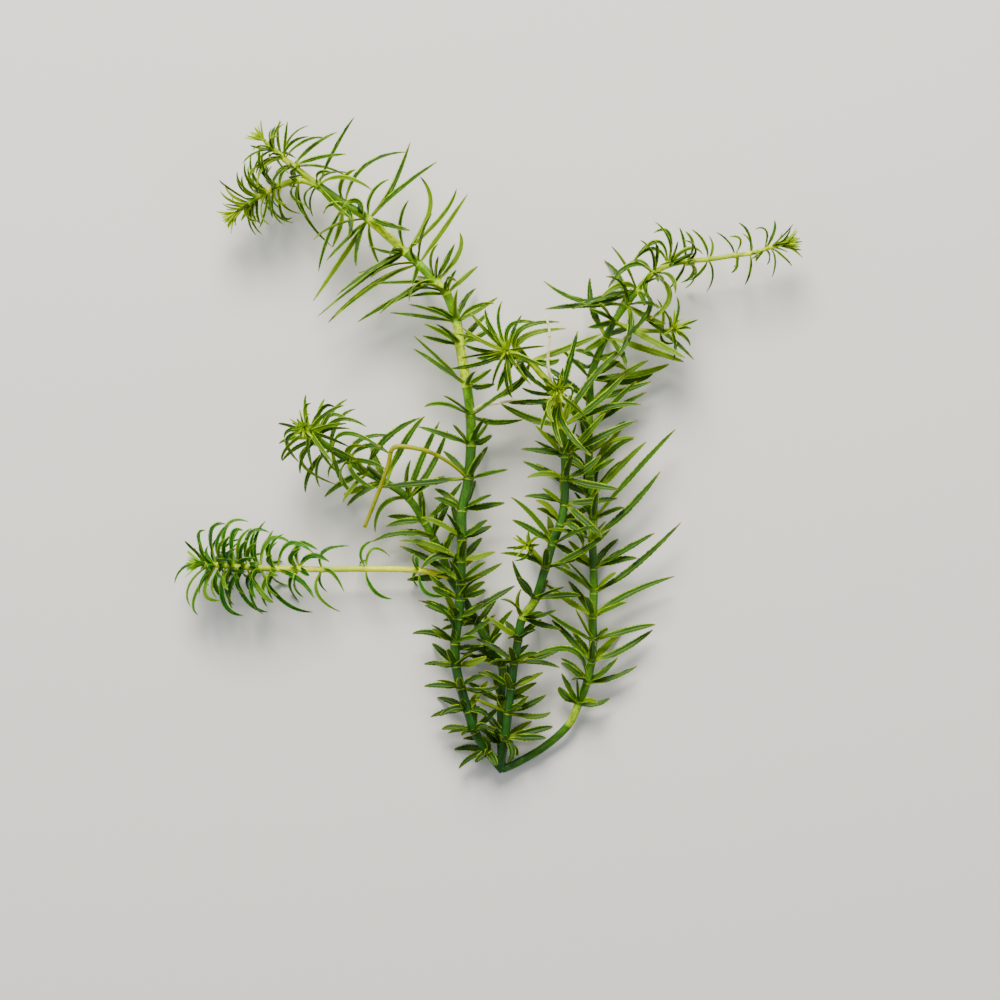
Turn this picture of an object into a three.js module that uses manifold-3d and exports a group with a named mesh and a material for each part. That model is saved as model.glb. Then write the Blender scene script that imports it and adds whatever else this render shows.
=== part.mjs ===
// Egeria najas, an aquarium plant of whorled leaves, picked and laid down on a flat surface.
// Millimetres, +Z up from the surface, +Y along the plant from its base to its tips.
// Every stem is a chain of nodes. A whorl of narrow leaves grows from each node.
import * as THREE from 'three';
import { ConvexGeometry } from 'three/addons/geometries/ConvexGeometry.js';
import { mergeVertices } from 'three/addons/utils/BufferGeometryUtils.js';
import Module from 'manifold-3d';

const wasm = await Module();
wasm.setup();

// The plant's outline is read on a square grid seen from above. x runs right and y runs down.
const GRID_STEP = 0.25; // millimetres of plant for one step of the grid
const GRID_MIDDLE_X = 489; // grid point that stands over the origin
const GRID_MIDDLE_Y = 447.5;

const STEM_SIDES = 5;
const LEAF_SIDES = 3; // two margins and the keel under the midrib
const LEAF_STEPS = 12; // steps along a leaf's midrib
const TWISTED_BY = 4; // steps along a leaf in which its blade turns
const ROOT_SIDES = 4;
const STRAIGHT_WITHIN = 0.25; // a stem this close to straight from ring to ring needs no ring between
const JOINT_GAP = 0.35; // between a stem and the stem it grew from
const LEAF_KEEL = 0.42; // thickness of a leaf over its midrib
const FLOOR_HEIGHT = 0.42; // lowest height of a midrib above the surface
const STEM_CLEARANCE = 1.2; // from a stem's skin to the midrib of another stem's leaf
const LEAF_CLEARANCE = 2.15; // between midribs of leaves on different stems
const OWN_CLEARANCE = 1.6; // between midribs of leaves on one stem
const LEAST_CROWDING = 0.1; // a leaf that comes this much too close to another stem's hasn't grown
const BASE_LENGTH = 3; // stretch of a leaf beside its own stem that needs no clearance

// How the leaves of a whorl stand: number, length, lean from the stem at the leaf's base and at
// its tip in degrees, and width.
const HABITS = {
  old: { leaves: 4, length: 10.5, lean: 60, tipLean: 72, width: 1.8 },
  low: { leaves: 5, length: 12, lean: 55, tipLean: 66, width: 1.9 },
  middle: { leaves: 5, length: 13.5, lean: 52, tipLean: 68, width: 1.9 },
  high: { leaves: 5, length: 16.5, lean: 50, tipLean: 88, width: 1.8 },
  long: { leaves: 5, length: 18, lean: 48, tipLean: 60, width: 1.8 },
  arched: { leaves: 5, length: 13, lean: 55, tipLean: 130, width: 1.4 },
  sparse: { leaves: 4, length: 10, lean: 62, tipLean: 120, width: 1.1 },
  young: { leaves: 6, length: 11.5, lean: 48, tipLean: 125, width: 1.2 },
  tuft: { leaves: 6, length: 8.5, lean: 35, tipLean: 95, width: 1.1 },
  bud: { leaves: 5, length: 6, lean: 12, tipLean: 35, width: 0.9 },
  sprout: { leaves: 5, length: 4.5, lean: 40, tipLean: 80, width: 0.9 },
};

// Stems. Each node is [x, y, height, habit]. Each drawn leaf is
// [node, x and y halfway, x and y of the tip, rise of the tip]; it takes one place of the whorl.
const MAIN_STEM = {
  name: 'main_stem',
  colour: 0x5c962b,
  radius: [1.15, 1.3, 1.05],
  springsFrom: [],
  nodes: [
    [503, 772, 3.2], [488, 753, 4.5, 'old'], [475, 733, 6, 'old'], [468, 712, 7, 'old'],
    [461, 689, 8, 'old'], [456, 667, 8.5, 'old'], [455, 644, 9.2, 'old'], [458, 619, 10, 'old'],
    [460, 600, 10.5, 'low'], [461, 584, 11, 'low'], [461, 562, 11.3, 'low'],
    [462, 540, 11.6, 'middle'], [462, 511, 12, 'middle'], [468.5, 479, 12.3, 'middle'],
    [471, 446, 12.6, 'middle'], [470.5, 416, 13, 'middle'], [467, 387, 13.2, 'middle'],
    [460, 346, 13.5, 'middle'], [457, 323, 13.6, 'high'], [447, 295, 13.8, 'high'],
    [436.5, 283, 13.8, 'high'], [419, 265, 13.6, 'high'], [406, 253, 13.4, 'high'],
    [369, 220, 13, 'high'], [345.5, 205, 12.8, 'high'], [319, 186.5, 12.6, 'arched'],
    [315, 183.5, 12.6],
  ],
  drawn: [
    [1, 482, 757, 475, 763.5, 1], [1, 493, 759, 497, 767, 3], [1, 490, 744, 482, 736, 3],
    [2, 455, 729, 441.5, 730.5, 0], [3, 455, 709, 439.5, 716.5, 0],
    [3, 480, 711, 488, 717.5, 3], [4, 482, 692, 500, 686, -2],
    [5, 443, 666, 432, 662.5, 0], [5, 474, 663, 487, 656.5, 1],
    [6, 433, 634, 412, 634, -1], [6, 447, 616, 418, 600, 2], [6, 480, 628, 496, 614.5, 2],
    [6, 441, 635, 432, 629, 3],
    [7, 474, 611, 484, 603, 2], [7, 490, 601, 515, 586, -2],
    [8, 441, 587, 429.5, 574.5, 1], [8, 440, 592, 432, 586, 3], [8, 478, 594, 486, 590, 2],
    [8, 470, 584, 482, 577, 4],
    [9, 483, 575, 502.5, 563, 0], [9, 474, 571, 486, 562, 4], [9, 431, 562, 399, 546, -1],
    [10, 482, 557, 495.5, 552, 2], [10, 431, 546, 399, 541, 2], [10, 440, 556, 421, 569, -2],
    [11, 476, 529, 488, 520, 2], [11, 478, 533, 492, 526, -1],
    [12, 478, 502, 492, 495, 3], [12, 484, 507, 505, 503, 0], [12, 448, 503, 434, 498, 2],
    [13, 456, 464, 443, 451, 3], [13, 476, 465, 483, 452, 3], [13, 489, 475, 508, 470, 0],
    [13, 420, 484, 376, 488, 1],
    [14, 445, 436, 418, 427, 0], [14, 461, 435, 453, 425, 4], [14, 481, 435, 489, 423, 3],
    [14, 482, 442, 492, 435, -2],
    [15, 458, 405, 444, 397, 3], [15, 445, 406, 425, 408, 0], [15, 492, 403, 522, 379, 3],
    [15, 491, 423, 523, 419.5, -3],
    [16, 440, 362, 414, 337, 2], [16, 438, 366, 413, 349, -1], [16, 480, 379, 492, 370, 3],
    [16, 480, 388, 495, 384, -2],
    [17, 442, 334, 424, 325, 2], [17, 441, 342, 422, 336, -2], [17, 478, 338, 492, 330, 2],
    [18, 456, 307, 458, 291, 3], [18, 479, 311, 498, 298, 0], [18, 424, 318, 390, 313.5, 0],
    [18, 434, 313, 409, 306, 3],
    [19, 451, 283, 457, 271, 3], [19, 464, 280, 478, 267, 0], [19, 428, 296, 410, 298, 3],
    [20, 437, 270, 439, 257, 3], [20, 447, 263, 455, 245, 1], [20, 459, 256, 460, 233, -1],
    [20, 410, 292, 380, 315, 0], [20, 406, 284, 375, 285, 3], [20, 397, 300, 357.5, 322.5, -3],
    [21, 444, 232, 468, 195, 1], [21, 378, 285, 334, 319, 1], [21, 417, 276, 413, 286, 4],
    [21, 372, 287, 328, 323.5, -2],
    [22, 431, 210, 420, 177, 0], [22, 443, 218, 457, 190, 3], [22, 370, 277, 318, 318, 2],
    [22, 388, 254, 369, 247, 4], [22, 376, 269, 337, 297.5, 4], [22, 384, 268, 358.5, 274, 1],
    [23, 373, 196, 390, 181, 3], [23, 391, 192, 410.5, 142, -2], [23, 399, 192, 438, 163, 1],
    [23, 359, 244, 357, 267, 2], [23, 389, 227, 411, 233, 4], [23, 343, 259, 313, 301.5, -3],
    [23, 373, 245, 381, 266.5, -1], [23, 348, 241, 327.5, 262, 3],
    [24, 366, 168, 408, 153.5, 2], [24, 352, 222, 349, 240, 3], [24, 341, 228, 333, 248, 0],
    [24, 329, 238, 318.5, 272, -4], [24, 360, 204, 363, 221, 4],
    [25, 337, 150, 356, 120, 0], [25, 345, 180, 374, 194, 3], [25, 335, 206, 355, 223, 1],
  ],
};

const MAIN_STEM_LEFT_TIP = {
  name: 'main_stem_left_tip',
  colour: 0x86b52e,
  radius: [0.85, 0.75, 0.45],
  springsFrom: [MAIN_STEM],
  nodes: [
    [318, 185.5, 12.6], [300, 181, 12.8, 'arched'], [280, 186.5, 13, 'young'],
    [270, 191.5, 13, 'young'], [260, 197, 13, 'tuft'], [252, 202.5, 13, 'tuft'],
    [244, 208, 13, 'bud'], [238, 212, 13],
  ],
  drawn: [
    [1, 305, 213, 333, 247, -2], [2, 283, 215, 293, 218, 1], [3, 266, 214, 260, 229, 0],
    [3, 272, 208, 274, 219.5, 3], [4, 250, 178, 266, 163, 1],
    [4, 249, 216, 260, 222, 3], [4, 243, 186, 238, 171.5, 0], [5, 232, 190, 220, 181, 2],
    [5, 247, 213, 241.5, 221.5, 1], [6, 236, 206, 226, 205, 1], [6, 237, 212, 229, 216, 0],
    [6, 241, 214, 234, 221.5, 2],
  ],
};

const MAIN_STEM_UPPER_TIP = {
  name: 'main_stem_upper_tip',
  colour: 0x86b52e,
  radius: [0.85, 0.75, 0.5],
  springsFrom: [MAIN_STEM, MAIN_STEM_LEFT_TIP],
  nodes: [
    [317, 185, 12.7], [295, 168, 13.6, 'arched'], [285, 160, 14, 'young'], [276, 152, 14.3, 'tuft'],
    [266, 143, 14.5],
  ],
  drawn: [
    [1, 313, 148, 338, 133, 0], [1, 320, 160, 348, 157, 3], [1, 322, 168, 347, 177, -1],
    [2, 279, 140, 281, 120, 0],
    [2, 287, 141, 289, 123, 3], [3, 262, 150, 251, 147, 0], [2, 306, 143, 326, 140, 2],
  ],
};

const MIDDLE_STEM = {
  name: 'middle_stem',
  colour: 0x5c962b,
  radius: [1.05, 1.1, 1],
  springsFrom: [MAIN_STEM],
  nodes: [
    [500, 768, 3.6], [505, 740, 7, 'old'], [508, 714, 8.6, 'old'], [511, 689, 9, 'old'],
    [514, 664, 9.4, 'old'], [518, 641, 9.8, 'old'], [522, 619, 10.2, 'old'],
    [535, 600, 10.6, 'low'], [545, 569, 11, 'low'], [552, 545, 11.4, 'middle'],
    [560, 524.5, 11.8, 'middle'], [564, 505, 12.2, 'middle'], [565, 480.5, 12.6, 'middle'],
    [564.5, 457, 13.2, 'middle'], [562, 428, 14.2, 'middle'], [559, 412, 15.4],
  ],
  drawn: [
    [1, 535, 731, 553, 727.5, 0], [1, 531, 738, 546, 738.5, 2], [1, 512, 751, 508, 763, 1],
    [2, 535, 718, 551, 712.5, -1],
    [2, 519, 706, 529, 695.5, 3], [2, 530, 705, 546.5, 695, 0], [3, 528, 681, 543.5, 672.5, 1],
    [4, 537, 663, 560, 668, 1], [4, 538, 658, 561, 649.5, -1], [5, 528, 630, 542, 620, -2],
    [6, 540, 625, 562, 630, 0], [6, 540, 617, 556.5, 609.5, 3], [6, 516, 603, 521.5, 588, 3],
    [7, 562, 596, 581, 596, -2], [7, 521, 584, 512, 560, 1],
    [8, 527, 558, 500, 553, 0], [8, 583, 551, 611, 528.5, 4], [8, 545, 557, 546.5, 548, 4],
    [8, 560, 565, 569, 570, 3],
    [9, 534, 519, 510.5, 497, 0], [9, 531, 530, 512, 520, 2], [9, 566, 551, 576, 556.5, 0],
    [10, 548, 508, 535.5, 500.5, 2], [10, 549, 514, 536.5, 509, -1],
    [10, 576, 524, 586.5, 536, 0], [10, 576, 530, 583, 547, 3],
    [11, 546, 498, 524, 496.5, 0], [11, 552, 497, 542, 488, 3], [11, 590, 502, 617.5, 498.5, 0],
    [11, 584, 521, 602, 538, 4],
    [12, 545, 472, 522.5, 461.5, 0], [12, 546, 475, 527, 478, 2], [12, 594, 486, 618.5, 489.5, 2],
    [12, 585, 470, 601, 455, 0],
    [13, 545, 452, 520.5, 449.5, 0], [13, 548, 441, 535, 426, 3], [13, 586, 436, 605, 413, 3],
    [13, 603, 436, 636.5, 421, 0], [13, 575, 462, 583.5, 469.5, 1], [13, 571, 441, 576, 423, 4],
    [14, 528, 418, 501, 404, -2], [14, 598, 402, 625, 374, 1], [14, 604, 409, 641, 405, -2],
    [14, 592, 380, 624.5, 348, -2], [14, 550, 415, 541, 398, -1], [14, 553, 413, 547.5, 400, 2],
    [14, 567, 411, 570, 395, 2],
  ],
};

const MIDDLE_STEM_LEFT_BRANCH = {
  name: 'middle_stem_left_branch',
  colour: 0x78ab2c,
  radius: [0.85, 0.8, 0.55],
  springsFrom: [MIDDLE_STEM],
  nodes: [
    [559, 413.5, 15], [552, 388, 16.4], [541, 375, 17.2], [530, 363, 18.2, 'low'],
    [518, 357, 19.6, 'low'], [510, 354, 21.6, 'arched'], [507.5, 353, 23.6, 'young'],
    [506.5, 352.5, 25],
  ],
  drawn: [
    [3, 565, 350, 601, 335, 0], [3, 549, 364, 559, 360, 2], [3, 521, 383, 498, 399, -2],
    [4, 525, 371, 541.5, 388.5, -2], [4, 526, 338, 566, 330, -1], [4, 521, 331, 560, 323.5, 1],
    [4, 500, 385, 490, 427, -4],
    [5, 478, 365, 450, 369.5, -3], [5, 508, 370, 512.5, 390, 0], [5, 489, 335, 470.5, 314.5, 0],
    [5, 484, 352, 464, 345.5, -2], [5, 510, 328, 537, 324.5, 2],
    [6, 483, 343, 461.5, 328.5, 0], [6, 481, 342, 456, 335, -2], [6, 498, 325, 502, 303, 0],
    [6, 490, 328, 485.5, 311, 2],
  ],
};

const MIDDLE_STEM_FRONT_TIP = {
  name: 'middle_stem_front_tip',
  colour: 0x86b52e,
  radius: [0.85, 0.75, 0.55],
  springsFrom: [MIDDLE_STEM, MIDDLE_STEM_LEFT_BRANCH],
  nodes: [
    [559, 413, 15.4], [558, 402, 19, 'middle'], [557, 395, 22.4, 'arched'],
    [556.5, 392, 25, 'bud'], [556.5, 391.5, 26.6],
  ],
  drawn: [
    [1, 553.5, 424, 562, 449, 0], [1, 565, 429, 590.5, 457, 1], [1, 545, 381, 529, 369, 2],
    [1, 567, 370, 577, 332, 1], [1, 522, 402, 503, 405, -2], [2, 560, 381, 562, 369, 2],
    [2, 545, 389, 536, 381, 3], [2, 571, 391, 564, 414, 1], [2, 536, 394, 521.5, 389.5, 1],
    [2, 548, 409, 553, 424, 0],
  ],
};

const SMALL_SHOOT = {
  name: 'small_shoot',
  colour: 0x86b52e,
  radius: [0.65, 0.6, 0.45],
  springsFrom: [MIDDLE_STEM],
  nodes: [
    [544, 565, 11], [537, 556, 14], [531, 549, 16, 'sprout'], [528, 546, 17.6, 'sprout'],
    [527, 545, 18.8],
  ],
  drawn: [
    [2, 517, 547, 506, 548, 0], [2, 524, 558, 514, 560, 1], [3, 533, 539, 540, 536, 1],
  ],
};

const RIGHT_STEM = {
  name: 'right_stem',
  colour: 0x5c962b,
  radius: [1, 1.05, 0.8],
  springsFrom: [MAIN_STEM, MIDDLE_STEM],
  nodes: [
    [502, 771, 3], [518, 764, 2.4], [545, 748, 2.6], [568, 727, 3.6], [578.5, 706, 4.6, 'old'],
    [587, 684, 5.4, 'old'], [591.5, 663.5, 6, 'low'], [593.5, 642, 6.4, 'low'],
    [593, 618.5, 6.8, 'middle'], [594, 594, 7, 'middle'], [594, 569.5, 7.3, 'middle'],
    [592.5, 540, 7.6, 'middle'], [593.5, 521, 7.9, 'long'], [592, 499, 8.1, 'long'],
    [590, 476, 8.4, 'long'], [589, 454, 8.6, 'middle'], [589, 430, 8.8, 'middle'],
    [590, 404, 9, 'middle'], [590.5, 379, 9.3, 'middle'], [596.5, 359, 9.8, 'middle'],
    [605.5, 338, 10.4, 'middle'], [614, 321.5, 11, 'middle'], [625.5, 305.5, 11.6, 'high'],
    [636.5, 291.5, 12.2, 'high'], [652, 274, 12.6, 'high'], [656, 271.5, 12.6],
  ],
  drawn: [
    [4, 564, 697, 559, 688, 0], [4, 577.5, 692, 577, 679, 3], [4, 569, 690, 561.5, 674, 1],
    [4, 596, 706, 611, 699, 0],
    [5, 570, 650, 521, 661, 1], [5, 573, 671, 561.5, 663.5, -1], [5, 604, 673, 618.5, 658, 1],
    [5, 611, 680, 638, 667, -1],
    [6, 624, 650, 654, 630, 0], [6, 571, 641, 551.5, 620, 0],
    [7, 583, 624, 575.5, 609, 3], [7, 569, 629, 548, 614, 0], [7, 629, 631, 656, 625, 0],
    [7, 604, 633, 608, 629, 3],
    [8, 567, 601, 545, 584, 0], [8, 612, 609, 627, 602.5, 3], [8, 628, 595, 675.5, 576.5, 0],
    [9, 634, 568, 682, 522, 1], [9, 608, 580, 616.5, 573, 3], [9, 573, 577, 554, 567, 0],
    [10, 618, 561, 637.5, 558.5, 0], [10, 625, 551, 655, 533, 3], [10, 580, 554, 568, 540.5, 2],
    [10, 575, 558, 561, 547, -1],
    [11, 628, 510, 661, 471, 1], [11, 584, 555, 564, 564, -1],
    [12, 640, 468, 676, 429, 1], [12, 612, 512, 624, 508, 0],
    [14, 614, 449, 634, 439, 1], [14, 604, 466, 615, 459, 3],
    [16, 614, 404, 637, 381, 2], [16, 620, 408, 647.5, 392, 0],
    [17, 622, 377, 648.5, 360.5, 1], [17, 622, 392, 652, 381.5, -1],
    [18, 608, 369, 620, 361.5, 2], [18, 607, 379, 621, 374.5, 4], [18, 638, 374, 670, 363.5, -1],
    [18, 630, 382, 655, 371, -3],
    [19, 585, 353, 575, 351, 2], [19, 587, 368, 576.5, 358.5, -1], [19, 622, 367, 643.5, 387, 2],
    [19, 611, 356, 624.5, 348.5, 4],
    [20, 592, 308, 590, 277, -3], [20, 619, 352, 625, 367.5, 3], [20, 650, 351, 684, 362, -2],
    [20, 594, 346, 583, 352, 2],
    [21, 601, 316, 588, 311, 2], [21, 600, 327, 587, 329, 0], [21, 655, 344, 684, 359, 0],
    [21, 604, 311, 598, 306, 3],
    [22, 586, 306, 544.5, 309.5, 0], [22, 629, 332, 614, 361, 3], [22, 662, 333, 693.5, 361, -1],
    [22, 646, 318, 665, 324.5, 1],
    [23, 588, 303, 543, 281.5, -1], [23, 604, 298, 572, 310, 2], [23, 648, 309, 621, 341, 2],
    [23, 621, 286, 600, 299, 4], [23, 641, 298, 644, 307, 3],
    [24, 630, 267, 607, 290, 0], [24, 643, 291, 657, 311, 2], [24, 668, 298, 648, 321, -1],
    [24, 637, 261, 625, 271, -2], [24, 655, 247, 643, 252, 3], [24, 658, 278, 661, 286, 3],
  ],
};

const RIGHT_STEM_TIP = {
  name: 'right_stem_tip',
  colour: 0x9cc23a,
  radius: [0.75, 0.58, 0.45],
  springsFrom: [RIGHT_STEM],
  nodes: [
    [653, 273.4, 12.6], [667.5, 266, 12.8, 'arched'], [685, 262, 12.8, 'arched'],
    [707, 260, 12.8, 'sparse'], [734, 256, 12.8, 'sparse'], [749.5, 254, 12.8, 'sparse'],
    [763.5, 250, 12.8, 'sparse'], [769, 248, 12.8, 'bud'], [777, 246, 12.8, 'bud'],
    [782, 245, 12.8],
  ],
  drawn: [
    [1, 668, 235, 653, 234, 1], [1, 652, 250, 630, 266, 1], [1, 657, 243, 634, 260, 3],
    [1, 673, 254, 677, 242, 3], [1, 681, 259, 692.5, 254.5, 4], [1, 688, 250, 702, 256, 2],
    [2, 683, 243, 679, 227.5, -2],
    [2, 678, 276, 668.5, 289, 0], [3, 703, 243, 691, 230, 0], [3, 700, 272, 689.5, 281, 1],
    [4, 728, 243, 715.5, 232, -2], [4, 739, 241, 728, 238, 2], [4, 736, 266, 730.5, 273.5, 0],
    [5, 747.5, 235, 737.5, 223.5, 1], [5, 749, 271, 744, 285.5, 0], [6, 765, 232, 754, 230, 0],
    [6, 773, 233, 774, 220, -2], [6, 757, 257, 754.5, 262.5, 1], [7, 774, 261, 771, 278.5, 0],
    [7, 782, 236, 792.5, 224.5, 1], [7, 782, 257, 791.5, 267, 0], [8, 789, 243, 800, 242.5, 0],
    [8, 788, 249, 801, 251, 0], [8, 786, 242, 793, 238, 2],
  ],
};

const RIGHT_STEM_SIDE_SHOOT = {
  name: 'right_stem_side_shoot',
  colour: 0x86b52e,
  radius: [0.6, 0.55, 0.4],
  springsFrom: [RIGHT_STEM],
  nodes: [
    [613, 322.5, 10.8], [640, 330, 10.5], [660, 331, 11, 'sparse'], [669, 330, 12.6, 'tuft'],
    [672, 329, 14],
  ],
  drawn: [
    [3, 670.5, 322, 669.5, 316, 1], [3, 682, 328, 691, 329, 0], [3, 683, 336, 690, 346, 0],
    [3, 673, 325, 678.5, 320, 2], [2, 663, 342, 674, 343, 0],
  ],
};

const LEFT_STEM = {
  name: 'left_stem',
  colour: 0x4f8a2b,
  radius: [1, 1, 0.75],
  springsFrom: [MAIN_STEM, MIDDLE_STEM, RIGHT_STEM],
  nodes: [
    [502, 769, 3], [501, 745, 3.6, 'old'], [501, 705, 4.2, 'old'], [502, 668, 4.8, 'old'],
    [490, 649, 5.3, 'old'], [478, 625, 5.8, 'old'], [464, 600, 6.1], [450, 578, 6.5, 'low'],
    [443, 558, 7, 'low'], [433.5, 539, 7.5, 'low'], [425, 523, 8, 'low'], [409, 499, 8.8, 'low'],
    [387, 483, 9.6, 'middle'], [368, 473, 10.2, 'middle'], [349, 461, 11, 'arched'],
    [333, 450, 12.4, 'arched'], [320, 440, 15, 'young'], [312, 433, 18.4, 'young'],
    [308, 430, 22, 'bud'], [306.5, 429, 24],
  ],
  drawn: [
    [1, 513, 750, 517, 757, 1], [1, 491, 740, 484, 729, 1],
    [9, 403, 534, 372, 542, 2], [9, 409, 533, 386.5, 537.5, -2], [10, 405, 522, 386, 526.5, 0],
    [10, 446, 503, 462, 482, 0], [10, 424, 509, 423, 497, 4], [11, 384, 506, 375, 533, -2],
    [11, 421, 462, 440, 421, 1], [11, 431, 469, 447.5, 430, 3], [11, 408, 479, 411, 460, 4],
    [11, 427, 486, 445, 476, -1], [12, 405, 443, 425, 416, 0], [13, 385, 441, 421, 418, 2],
    [14, 358, 478, 376, 488, 1], [14, 368, 462, 386, 469.5, 2], [14, 361, 440, 395, 436, -1],
    [14, 369, 446, 391, 455, 2],
    [15, 348, 434, 383, 449, 1], [15, 341, 477, 353.5, 493, 0], [16, 303, 462, 338, 485, -1],
    [16, 330, 416, 351.5, 422.5, 0], [16, 340, 420, 367.5, 427.5, 2],
    [17, 289, 440, 301, 463, 0], [17, 324, 408, 337.5, 409, 1], [17, 306, 411, 312.5, 404, 2],
    [17, 292, 430, 286, 439, 2],
  ],
};

const LEFT_SIDE_SHOOT = {
  name: 'left_side_shoot',
  colour: 0xb9c860,
  radius: [0.75, 0.75, 0.6],
  springsFrom: [LEFT_STEM],
  nodes: [
    [449, 577, 6.8], [420, 570.5, 8, 'sparse'], [366, 569, 8.8, 'sparse'],
    [323, 569.5, 9.2, 'sparse'], [300, 569, 9.4, 'arched'], [278, 569, 9.6, 'young'],
    [261, 568, 9.8, 'young'], [247, 567.5, 10, 'young'], [236, 567, 10, 'young'],
    [226, 566, 10, 'young'], [217, 565, 10, 'tuft'], [210, 564, 10, 'bud'], [204, 563.5, 10],
  ],
  drawn: [
    [1, 426, 592, 449, 595, 2], [1, 417, 560, 419, 552, 2], [2, 373, 550, 390, 557, 0],
    [2, 362, 551, 374, 540.5, 2],
    [2, 374, 590, 392, 599, 0], [3, 324, 552, 350, 546, 0], [3, 318, 593, 341, 612, 0],
    [3, 335, 574, 345, 592, 2], [4, 299, 545, 318, 550, 0], [4, 312, 556, 330, 562, 3],
    [4, 306, 572, 310, 575.5, 4], [5, 290, 544, 314, 553, 1], [5, 301, 580, 315, 598, 2],
    [6, 270, 540, 293, 545, 0], [6, 283, 600, 313, 612, -1], [7, 250, 535, 270, 533, 0],
    [7, 262, 592, 274, 602, 2], [8, 233, 536, 243.5, 530.5, 2], [8, 246, 598, 268, 612, 0],
    [9, 227, 528, 248.5, 522, 0], [9, 224, 601, 243.5, 615.5, 0], [10, 212, 532, 226, 524, 1],
    [10, 206, 592, 221, 600, 2], [10, 196, 596, 198, 615, 0], [11, 199, 538, 205.5, 530.5, 0],
    [11, 194, 549, 185, 540.5, 1], [11, 186, 567, 175, 583.5, 1], [11, 190, 586, 191.5, 607, 0],
  ],
};

const STEMS = [
  MAIN_STEM, MAIN_STEM_LEFT_TIP, MAIN_STEM_UPPER_TIP, MIDDLE_STEM, MIDDLE_STEM_LEFT_BRANCH,
  MIDDLE_STEM_FRONT_TIP, SMALL_SHOOT, RIGHT_STEM, RIGHT_STEM_TIP, RIGHT_STEM_SIDE_SHOOT, LEFT_STEM,
  LEFT_SIDE_SHOOT,
];

// Roots that grow from nodes high on the stems, with no leaves.
const ROOTS = [
  {
    name: 'white_root_upright',
    colour: 0xe6e8dc,
    radius: [0.4, 0.38, 0.3],
    springsFrom: [MIDDLE_STEM_LEFT_BRANCH],
    nodes: [[551, 386, 16.6], [550, 379, 19], [547.5, 363, 20.5], [549, 333, 21], [545, 317, 21]],
  },
  {
    name: 'white_root_across',
    colour: 0xe6e8dc,
    radius: [0.4, 0.38, 0.3],
    springsFrom: [MAIN_STEM],
    nodes: [
      [470.5, 413, 13], [480, 406.5, 14.5], [494, 404, 15], [513, 401.5, 14], [530, 403, 12.5],
      [545, 402, 11.6], [562, 399, 11.4], [576, 396.5, 11.8],
    ],
  },
  {
    name: 'brown_root',
    colour: 0xb9a24a,
    radius: [0.45, 0.75, 0.55],
    springsFrom: [MAIN_STEM],
    nodes: [
      [468, 479, 12.3], [455, 467, 16.5], [440, 457, 20], [424, 450.5, 22], [403, 447, 22.6],
      [393, 450, 22], [389, 466, 20.5], [379, 493, 18], [365, 527, 15],
    ],
  },
];

const UP = new THREE.Vector3(0, 0, 1);

// Turns tried for a leaf that would touch another one: degrees round the stem, degrees of lean
// and share of the length.
const WHORL_TRIES = [
  [0, 0, 1], [9, 0, 1], [-9, 0, 1], [0, -10, 1], [0, 10, 1], [18, 0, 1], [-18, 0, 1],
  [12, -12, 1], [-12, -12, 1], [12, 12, 1], [-12, 12, 1], [27, 0, 1], [-27, 0, 1],
  [0, -20, 0.9], [0, 20, 0.9], [0, 0, 0.75], [15, 0, 0.75], [-15, 0, 0.75], [0, -20, 0.7],
  [24, -20, 0.75], [-24, -20, 0.75], [0, 0, 0.5], [20, -15, 0.5], [-20, -15, 0.5],
];
// Changes of height tried for a drawn leaf, with its share of the length.
const DRAWN_TRIES = [
  [0, 1], [1.5, 1], [-1.5, 1], [3, 1], [-3, 1], [4.5, 1], [-4.5, 1], [6, 1], [7.5, 1], [0, 0.8],
  [2, 0.8], [-2, 0.8], [4, 0.8], [0, 0.6], [3, 0.6], [-3, 0.6], [0, 0.4],
];

function place(x, y, height) {
  return new THREE.Vector3((x - GRID_MIDDLE_X) * GRID_STEP, (GRID_MIDDLE_Y - y) * GRID_STEP, height);
}

// A number from 0 to 1 that is spread evenly as the count goes up.
function spread(count, stride) {
  return (count * stride) % 1;
}

// The direction of growth at each point, with two directions across it.
function framesAlong(points) {
  let side = null;
  return points.map((point, i) => {
    const before = points[Math.max(i - 1, 0)];
    const after = points[Math.min(i + 1, points.length - 1)];
    const along = after.clone().sub(before).normalize();
    side = side ? side.clone() : along.clone().cross(UP);
    side.addScaledVector(along, -side.dot(along)).normalize();
    return { point, along, side, front: side.clone().cross(along) };
  });
}

function radiusAt(radius, share) {
  const [atBase, atMiddle, atTip] = radius;
  return share < 0.5
    ? THREE.MathUtils.lerp(atBase, atMiddle, share * 2)
    : THREE.MathUtils.lerp(atMiddle, atTip, share * 2 - 1);
}

// Keeps a midrib above the surface. What would go lower slides along it at the same length.
function settle(points) {
  const settled = [points[0]];
  for (let i = 1; i < points.length; i += 1) {
    const step = points[i].clone().sub(points[i - 1]);
    const last = settled[i - 1];
    if (last.z + step.z < FLOOR_HEIGHT) {
      const length = step.length();
      const flat = Math.hypot(step.x, step.y) || 1;
      step.z = Math.max(FLOOR_HEIGHT - last.z, -length);
      const reach = Math.sqrt(Math.max(length * length - step.z * step.z, 0));
      step.x *= reach / flat;
      step.y *= reach / flat;
    }
    settled.push(last.clone().add(step));
  }
  return settled;
}

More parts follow.
